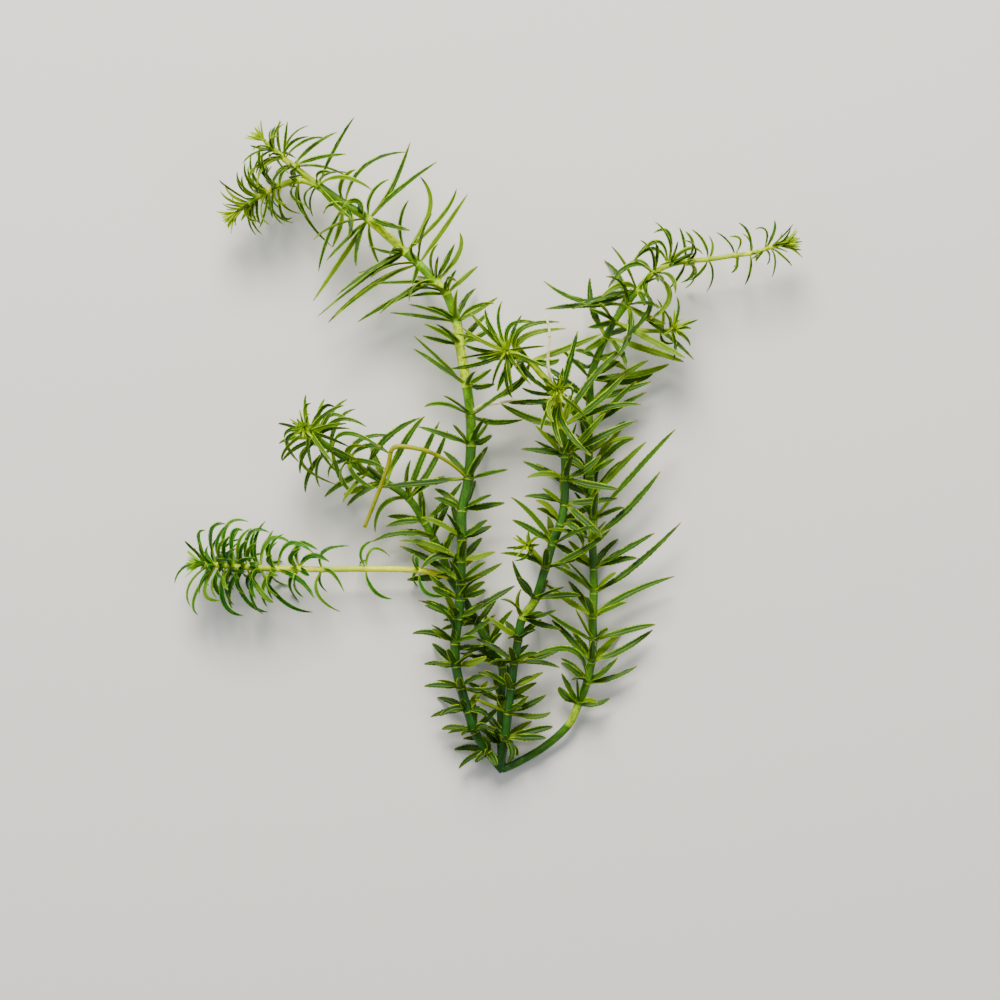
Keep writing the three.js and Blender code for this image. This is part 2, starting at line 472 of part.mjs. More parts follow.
// The midrib of a leaf that leaves the stem at a turn round it and leans out along its length.
function whorlMidrib(frame, turn, lean, tipLean, length) {
  const out = frame.side.clone().multiplyScalar(Math.cos(turn));
  out.addScaledVector(frame.front, Math.sin(turn));
  const points = [frame.point.clone()];
  for (let i = 0; i < LEAF_STEPS; i += 1) {
    const angle = THREE.MathUtils.lerp(lean, tipLean, (i + 0.5) / LEAF_STEPS);
    const next = points[i].clone();
    next.addScaledVector(frame.along, (Math.cos(angle) * length) / LEAF_STEPS);
    next.addScaledVector(out, (Math.sin(angle) * length) / LEAF_STEPS);
    points.push(next);
  }
  return { points: settle(points), out };
}

// The midrib of a drawn leaf: one bow from the node through a point halfway to the tip.
function drawnMidrib(frame, drawn, rise, share) {
  const [, middleX, middleY, tipX, tipY] = drawn;
  const start = frame.point;
  const middle = place(middleX, middleY, start.z + rise * 0.6);
  const tip = place(tipX, tipY, start.z + rise);
  const bow = middle.clone().multiplyScalar(2).addScaledVector(start, -0.5).addScaledVector(tip, -0.5);
  const points = [];
  for (let i = 0; i <= LEAF_STEPS; i += 1) {
    const u = (share * i) / LEAF_STEPS;
    const point = start.clone().multiplyScalar((1 - u) * (1 - u));
    point.addScaledVector(bow, 2 * u * (1 - u)).addScaledVector(tip, u * u);
    points.push(point);
  }
  const out = tip.clone().sub(start);
  out.addScaledVector(frame.along, -out.dot(frame.along)).normalize();
  return { points: settle(points), out };
}

function lengthOf(points) {
  let total = 0;
  for (let i = 1; i < points.length; i += 1) total += points[i].distanceTo(points[i - 1]);
  return total;
}

// How far a midrib keeps from what stands already, past the distance that each thing asks for.
function roomFor(points, length, stemIndex, whorlKey, standing) {
  let room = Infinity;
  for (let i = 1; i < points.length; i += 1) {
    const far = (i / LEAF_STEPS) * length;
    for (const item of standing) {
      const own = item.stem === stemIndex;
      if (own && (item.whorl === whorlKey || far < BASE_LENGTH)) continue;
      const asked = item.midrib ? (own ? OWN_CLEARANCE : LEAF_CLEARANCE) : item.clearance;
      const weight = own ? 0.3 : 1;
      const gap = Math.sqrt(
        (points[i].x - item.x) ** 2 + (points[i].y - item.y) ** 2 + (points[i].z - item.z) ** 2,
      );
      if (gap < asked) room = Math.min(room, (gap - asked) * weight);
    }
  }
  return room;
}

function addMidrib(standing, points, stemIndex, whorlKey) {
  for (let i = 1; i < points.length; i += 1) {
    const { x, y, z } = points[i];
    standing.push({ x, y, z, stem: stemIndex, whorl: whorlKey, midrib: true });
  }
}

// The points of a stem or root that leaves have to clear.
function addStem(standing, points, radius, stemIndex) {
  const count = points.length - 1;
  for (let i = 0; i < count; i += 1) {
    const span = points[i + 1].distanceTo(points[i]);
    const steps = Math.ceil(span / 1.2);
    for (let j = 0; j < steps; j += 1) {
      const spot = points[i].clone().lerp(points[i + 1], j / steps);
      const clearance = radiusAt(radius, (i + j / steps) / count) + STEM_CLEARANCE;
      const { x, y, z } = spot;
      standing.push({ x, y, z, stem: stemIndex, whorl: 'stem', midrib: false, clearance });
    }
  }
}

// Grows all the leaves: the drawn ones first, then the others of each whorl in the turns left.
function growLeaves() {
  const standing = [];
  const frames = STEMS.map((stem) => framesAlong(stem.nodes.map((n) => place(n[0], n[1], n[2]))));
  STEMS.forEach((stem, s) => addStem(standing, frames[s].map((f) => f.point), stem.radius, s));
  ROOTS.forEach((root, r) => {
    const points = root.nodes.map((n) => place(n[0], n[1], n[2]));
    addStem(standing, points, root.radius, STEMS.length + r);
  });
  const leaves = STEMS.map(() => []);
  const turnsLeft = STEMS.map((stem, s) => stem.nodes.map((node, n) => {
    const habit = HABITS[node[3]];
    if (!habit) return [];
    const first = 180 * (n % 2) / habit.leaves + 24 * spread(n + 7 * s + 1, 0.618034);
    return Array.from({ length: habit.leaves }, (_, k) => first + (360 * k) / habit.leaves);
  }));
  STEMS.forEach((stem, s) => stem.drawn.forEach((drawn, d) => {
    const node = drawn[0];
    const frame = frames[s][node];
    const key = `${s} ${node}`;
    let best = null;
    for (const [lift, share] of DRAWN_TRIES) {
      const leaf = drawnMidrib(frame, drawn, drawn[5] + lift, share);
      const room = roomFor(leaf.points, lengthOf(leaf.points), s, key, standing);
      if (!best || room > best.room) best = { ...leaf, room };
      if (room === Infinity) break;
    }
    const { out } = best;
    const turn = THREE.MathUtils.radToDeg(Math.atan2(out.dot(frame.front), out.dot(frame.side)));
    const turns = turnsLeft[s][node];
    const off = turns.map((t) => Math.abs(((((t - turn) % 360) + 540) % 360) - 180));
    if (turns.length > 0) turns.splice(off.indexOf(Math.min(...off)), 1);
    const width = HABITS[stem.nodes[node][3]].width;
    addMidrib(standing, best.points, s, key);
    leaves[s].push({ ...best, node, width, along: frame.along, count: d, turn, drawn: true });
  }));
  STEMS.forEach((stem, s) => stem.nodes.forEach((node, n) => {
    const habit = HABITS[node[3]];
    if (!habit) return;
    const frame = frames[s][n];
    const key = `${s} ${n}`;
    turnsLeft[s][n].forEach((turn, k) => {
      const count = 1 + k + 6 * n + 97 * s;
      const size = habit.length * (0.88 + 0.24 * spread(count, 0.618034));
      const lean = habit.lean + 14 * (spread(count, 0.754878) - 0.5);
      const tipLean = habit.tipLean + 26 * (spread(count, 0.56984) - 0.5);
      let best = null;
      for (const [turnBy, leanBy, share] of WHORL_TRIES) {
        const leaf = whorlMidrib(
          frame,
          THREE.MathUtils.degToRad(turn + turnBy),
          THREE.MathUtils.degToRad(lean + leanBy),
          THREE.MathUtils.degToRad(tipLean + leanBy),
          size * share,
        );
        const room = roomFor(leaf.points, size * share, s, key, standing);
        if (!best || room > best.room) best = { ...leaf, room };
        if (room === Infinity) break;
      }
      if (best.room < -LEAST_CROWDING) return;
      addMidrib(standing, best.points, s, key);
      leaves[s].push({ ...best, node: n, width: habit.width, along: frame.along, count, turn });
    });
  }));
  return leaves;
}

// Turns a closed three.js shape into a solid.
function solidOf(geometry) {
  geometry.deleteAttribute('normal');
  geometry.deleteAttribute('uv');
  const merged = mergeVertices(geometry, 1e-5);
  return new wasm.Manifold(new wasm.Mesh({
    numProp: 3,
    vertProperties: Float32Array.from(merged.attributes.position.array),
    triVerts: Uint32Array.from(merged.index.array),
  }));
}

// The nodes of a stem where it turns or changes its width, which need a ring of their own.
function ringsOf(frames, radius) {
  const last = frames.length - 1;
  const kept = [0];
  for (let i = 1; i < last; i += 1) {
    const from = kept[kept.length - 1];
    const chord = frames[i + 1].point.clone().sub(frames[from].point);
    const off = frames.slice(from + 1, i + 1).some((frame, k) => {
      const arm = frame.point.clone().sub(frames[from].point);
      const share = arm.dot(chord) / chord.lengthSq();
      const atFrom = radiusAt(radius, from / last);
      const atNext = radiusAt(radius, (i + 1) / last);
      const straight = THREE.MathUtils.lerp(atFrom, atNext, share);
      const miss = Math.abs(straight - radiusAt(radius, (from + 1 + k) / last));
      return arm.distanceTo(chord.clone().multiplyScalar(share)) + miss > STRAIGHT_WITHIN;
    });
    if (off) kept.push(i);
  }
  return [...kept, last];
}

// A round stem or root: a cylinder bent along its nodes, wider by extra and longer by extra.
function stemSolid(stem, sides, extra) {
  const points = stem.nodes.map((n) => place(n[0], n[1], n[2]));
  const framesAtNodes = framesAlong(points);
  const shares = ringsOf(framesAtNodes, stem.radius);
  const frames = shares.map((i) => framesAtNodes[i]);
  const last = frames.length - 1;
  const ends = frames.map((frame, i) => {
    const shift = extra * ((i === last) - (i === 0));
    return frame.point.clone().addScaledVector(frame.along, shift);
  });
  const geometry = new THREE.CylinderGeometry(1, 1, last, sides, last);
  const position = geometry.attributes.position;
  for (let v = 0; v < position.count; v += 1) {
    const i = Math.round(position.getY(v) + last / 2);
    const { side, front } = frames[i];
    const radius = radiusAt(stem.radius, shares[i] / (points.length - 1)) + extra;
    const point = ends[i].clone();
    point.addScaledVector(side, position.getX(v) * radius);
    point.addScaledVector(front, position.getZ(v) * radius);
    point.z = Math.max(point.z, 0);
    position.setXYZ(v, point.x, point.y, point.z);
  }
  return solidOf(geometry);
}

// Stations of a leaf in steps along its midrib, each with its share of the full width. A strongly
// bent leaf has one station more than the others.
const BOWED_STATIONS = [[0, 0], [6, 1], [12, 0]];
const BENT_STATIONS = [[0, 0], [4, 1], [8, 0.85], [12, 0]];
const BOWED_LEAN = 0.65; // radians between a leaf's first and last step that make it bowed
const BENT_LEAN = 1.8; // and those that make it strongly bent

// A leaf: a three-sided spindle bent along its midrib, with the keel below. A nearly straight leaf
// is the hull of its two ends and its two margins.
function leafSolid(leaf) {
  const { points } = leaf;
  const first = points[1].clone().sub(points[0]);
  const last = points[LEAF_STEPS].clone().sub(points[LEAF_STEPS - 1]);
  const bend = first.angleTo(last);
  const stations = bend > BENT_LEAN ? BENT_STATIONS : BOWED_STATIONS;
  const spans = stations.length - 1;
  const twist = leafTwist(leaf);
  let across = leaf.along.clone().cross(leaf.out);
  const geometry = new THREE.SphereGeometry(1, LEAF_SIDES, spans);
  const position = geometry.attributes.position;
  const rings = stations.map(([step, share]) => {
    const before = points[Math.max(step - 1, 0)];
    const after = points[Math.min(step + 1, LEAF_STEPS)];
    const heading = after.clone().sub(before).normalize();
    across = across.clone().addScaledVector(heading, -across.dot(heading)).normalize();
    const turned = across.clone().applyAxisAngle(heading, twist * Math.min(step / TWISTED_BY, 1));
    return { point: points[step], across: turned, face: heading.cross(turned), share };
  });
  if (bend < BOWED_LEAN) {
    const { point, across: margin, face } = rings[1];
    const chord = points[0].clone().lerp(points[LEAF_STEPS], stations[1][0] / LEAF_STEPS);
    const bow = point.clone().sub(chord).dot(face);
    const rise = Math.max(LEAF_KEEL - Math.abs(bow), 0) * (bow < 0 ? -1 : 1);
    const middle = point.clone().addScaledVector(face, rise);
    const margins = [-0.5, 0.5].map((k) => middle.clone().addScaledVector(margin, k * leaf.width));
    const corners = [points[0], ...margins, points[LEAF_STEPS]];
    return solidOf(new ConvexGeometry(corners.map((c) => c.setZ(Math.max(c.z, 0)))));
  }
  for (let v = 0; v < position.count; v += 1) {
    const row = Math.floor(v / (LEAF_SIDES + 1));
    const ring = rings[row];
    const corner = v % (LEAF_SIDES + 1) % LEAF_SIDES;
    const point = ring.point.clone();
    if (ring.share > 0) {
      const reach = [-0.5, 0.5, 0][corner] * leaf.width * ring.share;
      point.addScaledVector(ring.across, reach);
      point.addScaledVector(ring.face, corner === 2 ? -LEAF_KEEL : 0);
      point.z = Math.max(point.z, 0);
    }
    position.setXYZ(v, point.x, point.y, point.z);
  }
  return solidOf(geometry);
}

// How far a leaf turns about its midrib. Leaves at the sides turn their faces up.
function leafTwist(leaf) {
  const turn = THREE.MathUtils.degToRad(leaf.turn);
  const amount = 0.75 + 0.5 * spread(leaf.count + 1, 0.754878);
  return Math.cos(turn) * amount;
}

function bodyOf(solid) {
  const bodies = solid.decompose();
  return bodies.reduce((a, b) => (b.volume() > a.volume() ? b : a));
}

function meshOf(solid, name, colour) {
  const { vertProperties, triVerts } = solid.getMesh();
  const geometry = new THREE.BufferGeometry();
  geometry.setAttribute('position', new THREE.BufferAttribute(vertProperties, 3));
  geometry.setIndex(new THREE.BufferAttribute(triVerts, 1));
  const material = new THREE.MeshStandardMaterial({ color: colour, roughness: 0.42, metalness: 0 });
  const mesh = new THREE.Mesh(geometry, material);
  mesh.name = name;
  return mesh;
}

const plant = new THREE.Group();
plant.name = 'egeria_najas';
const leavesOfStems = growLeaves();

STEMS.forEach((stem, s) => {
  let solid = stemSolid(stem, STEM_SIDES, 0);
  const fused = leavesOfStems[s].map(leafSolid);
  solid = wasm.Manifold.union([solid, ...fused]);
  for (const parent of stem.springsFrom) {
    solid = solid.subtract(stemSolid(parent, STEM_SIDES, JOINT_GAP));
  }
  plant.add(meshOf(bodyOf(solid), stem.name, stem.colour));
});

for (const root of ROOTS) {
  let solid = stemSolid(root, ROOT_SIDES, 0);
  for (const parent of root.springsFrom) {
    solid = solid.subtract(stemSolid(parent, STEM_SIDES, JOINT_GAP));
  }
  plant.add(meshOf(bodyOf(solid), root.name, root.colour));
}

export default plant;
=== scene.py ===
"""Egeria najas, a plant with whorls of narrow leaves, picked and laid down on a pale table.

The stems, leaves and roots run where the solids run. Lengths in the tables are millimetres,
heights are over the table, and x and y are points of a square grid seen from above.
"""

import sys

import logging
import math
from collections.abc import Iterable, Sequence
from dataclasses import dataclass, field
from enum import Enum
from typing import Any

import bpy
import numpy as np
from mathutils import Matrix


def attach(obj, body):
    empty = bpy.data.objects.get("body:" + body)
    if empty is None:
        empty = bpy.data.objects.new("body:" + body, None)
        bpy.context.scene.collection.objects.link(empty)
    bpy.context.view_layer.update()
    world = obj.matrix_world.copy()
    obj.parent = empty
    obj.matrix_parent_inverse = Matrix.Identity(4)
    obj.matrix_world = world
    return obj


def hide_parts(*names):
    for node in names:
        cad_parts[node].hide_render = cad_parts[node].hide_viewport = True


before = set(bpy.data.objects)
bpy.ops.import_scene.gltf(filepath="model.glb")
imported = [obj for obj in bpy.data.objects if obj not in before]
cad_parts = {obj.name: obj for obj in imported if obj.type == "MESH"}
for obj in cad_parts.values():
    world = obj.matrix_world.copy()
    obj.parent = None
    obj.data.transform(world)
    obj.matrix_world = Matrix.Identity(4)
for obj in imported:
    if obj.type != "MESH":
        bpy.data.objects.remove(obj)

LOG = logging.getLogger("egeria")
MM = 0.001  # one millimetre in metres

GRID_STEP = 0.25  # millimetres of plant for one step of the grid
GRID_MIDDLE_X = 489.0  # grid point that stands over the origin
GRID_MIDDLE_Y = 447.5
VIEW_X = 500.0  # grid point in the middle of the picture
VIEW_Y = 500.0
VIEW_WIDTH = 1000  # steps of the grid across the picture

LEAF_STEPS = 12  # steps along a leaf's midrib
TWISTED_BY = 4  # steps along a leaf in which its blade turns
FLOOR_HEIGHT = 0.42  # lowest height of a midrib above the table
STEM_CLEARANCE = 1.2  # from a stem's skin to the midrib of another stem's leaf
LEAF_CLEARANCE = 2.15  # between midribs of leaves on different stems
OWN_CLEARANCE = 1.6  # between midribs of leaves on one stem
CLEAR_OF_ALL = 3  # farther away than this, nothing asks for room
OWN_SHARE = 0.3  # how much a shortfall on a leaf's own stem counts
LEAST_CROWDING = 0.1  # a leaf that comes this much too close to another stem's is crowded
BASE_LENGTH = 3  # stretch of a leaf beside its own stem that needs no clearance
STEM_SPOTS = 1.2  # greatest distance between the points that stand for a stem
BOW_RISE = 0.6  # share of a drawn leaf's rise that it has halfway

# Strides that spread the small differences between leaves: the golden ratio's and the plastic
# ratio's inverse, and the square of that.
GOLDEN = 0.618034
PLASTIC = 0.754878
PLASTIC_SQUARE = 0.56984
WHORL_TURN = 24  # degrees that a whorl is turned at most, past the half step from the one below
STEM_STRIDE = 7  # sets the turns on one stem apart from those on the next
LEAST_SIZE = 0.88  # least share of its whorl's length that a leaf has
INNER_WIDTH = 0.9  # width of an inner leaf as a share of the others'
BUD_YOUTH = 1.5  # youth of the leaves folded in a bud; a shoot's other leaves stay below it

Points = np.ndarray
NodeRow = tuple  # x, y, height and, where leaves grow, the habit
DrawnRow = tuple  # node, x and y halfway, x and y of the tip, rise of the tip


@dataclass(frozen=True)
class WhorlForm:
    """How the leaves of one whorl stand: lengths in millimetres, leans in degrees."""

    leaves: int
    length: float
    lean: float
    tip_lean: float
    width: float


class Habit(Enum):
    """The kinds of whorl, from the base of a stem to its growing tip."""

    OLD = WhorlForm(4, 10.5, 60, 72, 1.8)
    LOW = WhorlForm(5, 12, 55, 66, 1.9)
    MIDDLE = WhorlForm(5, 13.5, 52, 68, 1.9)
    HIGH = WhorlForm(5, 16.5, 50, 88, 1.8)
    LONG = WhorlForm(5, 18, 48, 60, 1.8)
    ARCHED = WhorlForm(5, 13, 55, 130, 1.4)
    SPARSE = WhorlForm(4, 10, 62, 120, 1.1)
    YOUNG = WhorlForm(6, 11.5, 48, 125, 1.2)
    TUFT = WhorlForm(6, 8.5, 35, 95, 1.1)
    BUD = WhorlForm(5, 6, 12, 35, 0.9)
    SPROUT = WhorlForm(5, 4.5, 40, 80, 0.9)


OLD, LOW, MIDDLE, HIGH, LONG, ARCHED, SPARSE, YOUNG, TUFT, BUD, SPROUT = Habit


class Skin(Enum):
    """The record's finishes, which pick the materials that the pieces take."""

    MATURE = "mature_shoot"
    YOUNG = "growing_tip"
    SIDE = "side_shoot"
    WHITE_ROOT = "white_root"
    BROWN_ROOT = "brown_root"


def linear(hex_colour: str) -> tuple[float, float, float, float]:
    """Turns an sRGB hex colour to linear values.

    Args:
        hex_colour: Six hex digits after a hash sign.

    Returns:
        Red, green, blue and alpha.
    """
    parts = [int(hex_colour[i : i + 2], 16) / 255 for i in (1, 3, 5)]
    red, green, blue = ((p / 12.92) if p <= 0.04045 else ((p + 0.055) / 1.055) ** 2.4 for p in parts)
    return (red, green, blue, 1.0)


def add_node(
    tree: bpy.types.NodeTree, kind: str, inputs: dict[str | int, Any] | None = None, **settings: Any
) -> bpy.types.Node:
    """Adds a shader node with its settings, values and links.

    Args:
        tree: The material's node tree.
        kind: The node's type name without ShaderNode in front.
        inputs: Socket name or number to a value, a hex colour or the output socket that feeds it.
        **settings: Properties of the node itself.

    Returns:
        The new node.
    """
    node = tree.nodes.new("ShaderNode" + kind)
    for name, value in settings.items():
        setattr(node, name, value)
    for name, value in (inputs or {}).items():
        if isinstance(value, bpy.types.NodeSocket):
            tree.links.new(value, node.inputs[name])
        else:
            node.inputs[name].default_value = linear(value) if isinstance(value, str) else value
    return node


def lay_over(
    tree: bpy.types.NodeTree,
    base: Any,
    over: Any,
    share: Any,
    low: float | None = None,
    high: float = 1.0,
    top: float = 1.0,
) -> bpy.types.NodeSocket:
    """Lays a colour over another one, everywhere or where a value says so.

    Args:
        tree: The material's node tree.
        base: The colour below, a hex colour or a socket.
        over: The colour above, a hex colour or a socket.
        share: Share of the colour above, or the socket of the value that it is worked out from.
        low: The value at which the colour above starts to show, if its share comes from a value.
        high: The value at which it shows most; below low where it shows at small values.
        top: Its share there.

    Returns:
        The socket of the two colours together.
    """
    if low is not None:
        span = {"Value": share, "From Min": low, "From Max": high, "To Max": top}
        share = add_node(tree, "MapRange", span, interpolation_type="SMOOTHSTEP").outputs["Result"]
    # A Mix node takes its share at socket 0 and two colours at 6 and 7, and gives a colour at 2.
    return add_node(tree, "Mix", {0: share, 6: base, 7: over}, data_type="RGBA").outputs[2]


def add_grain(
    tree: bpy.types.NodeTree, place: bpy.types.NodeSocket, scale: Sequence[float], detail: float
) -> bpy.types.NodeSocket:
    """Adds a cloudy pattern that is finer in one direction than in another.

    Args:
        tree: The material's node tree.
        place: Socket of the place on the piece.
        scale: Patterns to a unit of length, in each direction.
        detail: How many times it holds a finer pattern.

    Returns:
        The pattern's socket, around 0.5.
    """
    stretched = add_node(tree, "Mapping", {"Vector": place, "Scale": scale})
    noise = add_node(tree, "TexNoise", {"Vector": stretched.outputs[0], "Scale": 1.0, "Detail": detail})
    return noise.outputs[0]


@dataclass(frozen=True)
class Finish:
    """What a surface is made of. Each kind of finish adds its own shaders."""

    name: str

    def material(self) -> bpy.types.Material:
        """Builds the finish's material.

        Returns:
            The material, named for the finish.
        """
        made = bpy.data.materials.new(self.name)
        made.use_nodes = True
        made.node_tree.nodes.clear()
        surface = self.surface(made.node_tree)
        add_node(made.node_tree, "OutputMaterial", {"Surface": surface.outputs[0]})
        return made

    def surface(self, tree: bpy.types.NodeTree) -> bpy.types.Node:
        """Adds the shaders and returns the last of them."""
        raise NotImplementedError


@dataclass(frozen=True)
class LeafBlade(Finish):
    """Living leaf blade, two cells thick, wet and faintly glossy.

    The blade lets light through, so its colour is a mix of what it reflects and what comes through
    from behind. Its midrib and its margins hold fewer green cells and read as pale yellow lines. The
    margins are also partly painted highlight, brighter and wider than their cells alone, for light
    caught on the edges.
    """

    old: str
    mature: str
    young: str
    midrib: str
    # Pale yellow of the margins, partly painted highlight.
    margin_and_highlight: str
    tip: str
    roughness: float = 0.46
    see_through: float = 0.3

    def surface(self, tree: bpy.types.NodeTree) -> bpy.types.Node:
        """Adds the blade's shaders.

        Args:
            tree: The material's node tree.

        Returns:
            The last one. It reads the attribute blade: length share, margin share, youth and tone.
        """
        blade = add_node(tree, "Attribute", attribute_name="blade")
        along, across, youth_and_highlight = add_node(tree, "SeparateColor", {0: blade.outputs["Color"]}).outputs
        tone = blade.outputs["Alpha"]
        flat = add_node(tree, "UVMap", uv_map="blade_map").outputs[0]
        # Cells of the blade stand in rows about 0.05 mm wide, drawn here as streaks of 0.3 mm.
        streaks = add_grain(tree, flat, (0.2, 3.2, 1.0), 3.0)
        patches = add_grain(tree, flat, (0.22, 0.22, 1.0), 2.0)
        # Youth turns the blade from old to young green; part of it is painted highlight towards the lit
        # tips.
        green = lay_over(tree, self.old, self.mature, youth_and_highlight, 0.0, 0.45)
        green = lay_over(tree, green, self.young, youth_and_highlight, 0.4, 1.0)
        dark = lay_over(tree, green, self.old, 0.75)
        pale = lay_over(tree, green, self.margin_and_highlight, 0.55)
        green = lay_over(tree, green, dark, streaks, 0.45, 0.65, 0.6)
        green = lay_over(tree, green, dark, patches, 0.5, 0.68, 0.5)
        green = lay_over(tree, green, pale, tone, 0.7, 1.0, 0.4)
        green = lay_over(tree, green, dark, tone, 0.6, 0.0, 0.8)
        # Young blades have paler rows too.
        pale_rows = lay_over(tree, green, pale, streaks, 0.44, 0.35, 0.8)
        green = lay_over(tree, green, pale_rows, youth_and_highlight, 0.1, 0.65)
        green = lay_over(tree, green, pale, along, 0.22, 0.07, 0.85)
        green = lay_over(tree, green, self.midrib, across, 0.12, 0.03, 0.35)
        # The pale margin is partly painted highlight: it is clear in places and faint between them, in
        # stretches of 2 to 4 mm that stand for glints of light on the edges, and clearer on pale leaves.
        # It takes a larger share of a young, narrow leaf.
        stretches = add_grain(tree, flat, (0.4, 0.4, 1.0), 1.0)
        edge = lay_over(tree, dark, self.margin_and_highlight, stretches, 0.41, 0.57, 0.85)
        edge = lay_over(tree, edge, self.margin_and_highlight, tone, 0.1, 0.7, 0.6)
        reach = add_node(tree, "Math", {0: youth_and_highlight, 1: 0.13, 2: across}, operation="MULTIPLY_ADD")
        green = lay_over(tree, green, edge, reach.outputs[0], 0.76, 0.95)
        green = lay_over(tree, green, self.tip, along, 0.9, 1.0, 0.6)
        # Leaves folded in a bud have the least green.
        green = lay_over(tree, green, self.margin_and_highlight, youth_and_highlight, 1.02, BUD_YOUTH, 0.65)
        bump = add_node(tree, "Bump", {"Height": streaks, "Strength": 0.35, "Distance": 0.2 * MM})
        skin = {"Base Color": green, "Roughness": self.roughness, "Normal": bump.outputs[0]}
        skin |= {"IOR": 1.42, "Specular IOR Level": 0.3}
        shown = add_node(tree, "BsdfPrincipled", skin).outputs[0]
        through = add_node(tree, "BsdfTranslucent", {"Color": green, "Normal": bump.outputs[0]}).outputs[0]
        return add_node(tree, "MixShader", {0: self.see_through, 1: shown, 2: through})


@dataclass(frozen=True)
class StemSkin(Finish):
    """Round green stem with a thin wet skin, paler where a whorl of leaves joins it."""

    shade: str
    old: str
    young: str
    ring: str
    roughness: float = 0.42

    def surface(self, tree: bpy.types.NodeTree) -> bpy.types.Node:
        """Adds the stem's shaders.

        Args:
            tree: The material's node tree.

        Returns:
            The last one. It reads the attribute stem: youth, ring share, share of the length and tone.
        """
        stem = add_node(tree, "Attribute", attribute_name="stem")
        youth_and_highlight, ring, _ = add_node(tree, "SeparateColor", {0: stem.outputs["Color"]}).outputs
        tone = stem.outputs["Alpha"]
        around = add_node(tree, "UVMap", uv_map="stem_map").outputs[0]
        # Cells of the skin stand in rows lengthwise, drawn here half a millimetre wide and 2 mm long.
        cells = add_grain(tree, around, (0.5, 13.0, 1.0), 2.0)
        # Dark flecks of green cells, 0.7 mm long.
        flecks = add_grain(tree, around, (1.4, 16.0, 1.0), 1.0)
        # Patches of darker green, 3 to 5 mm long.
        patches = add_grain(tree, add_node(tree, "TexCoord").outputs["Object"], (260.0, 260.0, 260.0), 4.0)
        # Youth turns the stem from old green to yellow; part of it is painted highlight towards the lit
        # tips.
        green = lay_over(tree, self.old, self.young, youth_and_highlight, 0.0, 1.0)
        dark = lay_over(tree, green, self.shade, 0.8)
        pale = lay_over(tree, green, self.ring, 0.75)
        # Stretches between two nodes differ: pale ones are painted highlight and dark ones painted shade,
        # for stretches that light fell on or missed, and only young pale ones turn yellow.
        yellow = add_node(tree, "Math", {0: tone, 1: youth_and_highlight}, operation="MULTIPLY")
        green = lay_over(tree, green, pale, yellow.outputs[0], 0.4, 0.8, 0.9)
        green = lay_over(tree, green, dark, tone, 0.5, 0.0, 0.75)
        green = lay_over(tree, green, dark, cells, 0.46, 0.6, 0.45)
        green = lay_over(tree, green, dark, flecks, 0.54, 0.64, 0.5)
        green = lay_over(tree, green, dark, patches, 0.46, 0.6, 0.55)
        joint = add_node(tree, "Math", {0: ring, 1: flecks}, operation="MULTIPLY")
        green = lay_over(tree, green, self.ring, joint.outputs[0], 0.16, 0.56, 0.36)
        bump = add_node(tree, "Bump", {"Height": cells, "Strength": 0.5, "Distance": 0.1 * MM})
        skin = {"Base Color": green, "Roughness": self.roughness, "Normal": bump.outputs[0]}
        skin |= {"IOR": 1.42, "Specular IOR Level": 0.3, "Subsurface Weight": 0.15}
        skin |= {"Subsurface Radius": (0.7, 1.0, 0.1), "Subsurface Scale": 0.5 * MM}
        return add_node(tree, "BsdfPrincipled", skin)


@dataclass(frozen=True)
class RootSkin(Finish):
    """Thin soft root that lets some light in, pale where it is new and browner where it has aged."""

    fresh: str
    aged: str
    roughness: float = 0.38

    def surface(self, tree: bpy.types.NodeTree) -> bpy.types.Node:
        """Adds the root's shaders.

        Args:
            tree: The material's node tree.

        Returns:
            The last one. It reads the attribute stem: youth, spot share and share of the length.
        """
        stem = add_node(tree, "Attribute", attribute_name="stem")
        _, spot, _ = add_node(tree, "SeparateColor", {0: stem.outputs["Color"]}).outputs
        # Stains about 2 mm long.
        stains = add_grain(tree, add_node(tree, "TexCoord").outputs["Object"], (420.0, 420.0, 420.0), 3.0)
        colour = lay_over(tree, self.fresh, self.aged, stains, 0.45, 0.75, 0.7)
        colour = lay_over(tree, colour, self.aged, spot, 0.2, 0.9)
        bump = add_node(tree, "Bump", {"Height": stains, "Strength": 0.3, "Distance": 0.2 * MM})
        skin = {"Base Color": colour, "Roughness": self.roughness, "Normal": bump.outputs[0]}
        skin |= {"IOR": 1.4, "Subsurface Weight": 0.4}
        skin |= {"Subsurface Radius": (1.0, 0.8, 0.5), "Subsurface Scale": MM}
        return add_node(tree, "BsdfPrincipled", skin)


@dataclass(frozen=True)
class TableTop(Finish):
    """Matt pale laminate under the plant, which scatters light and takes soft shadows."""

    colour: str
    roughness: float = 0.7

    def surface(self, tree: bpy.types.NodeTree) -> bpy.types.Node:
        """Adds the laminate's shader and returns it."""
        return add_node(tree, "BsdfPrincipled", {"Base Color": self.colour, "Roughness": self.roughness})


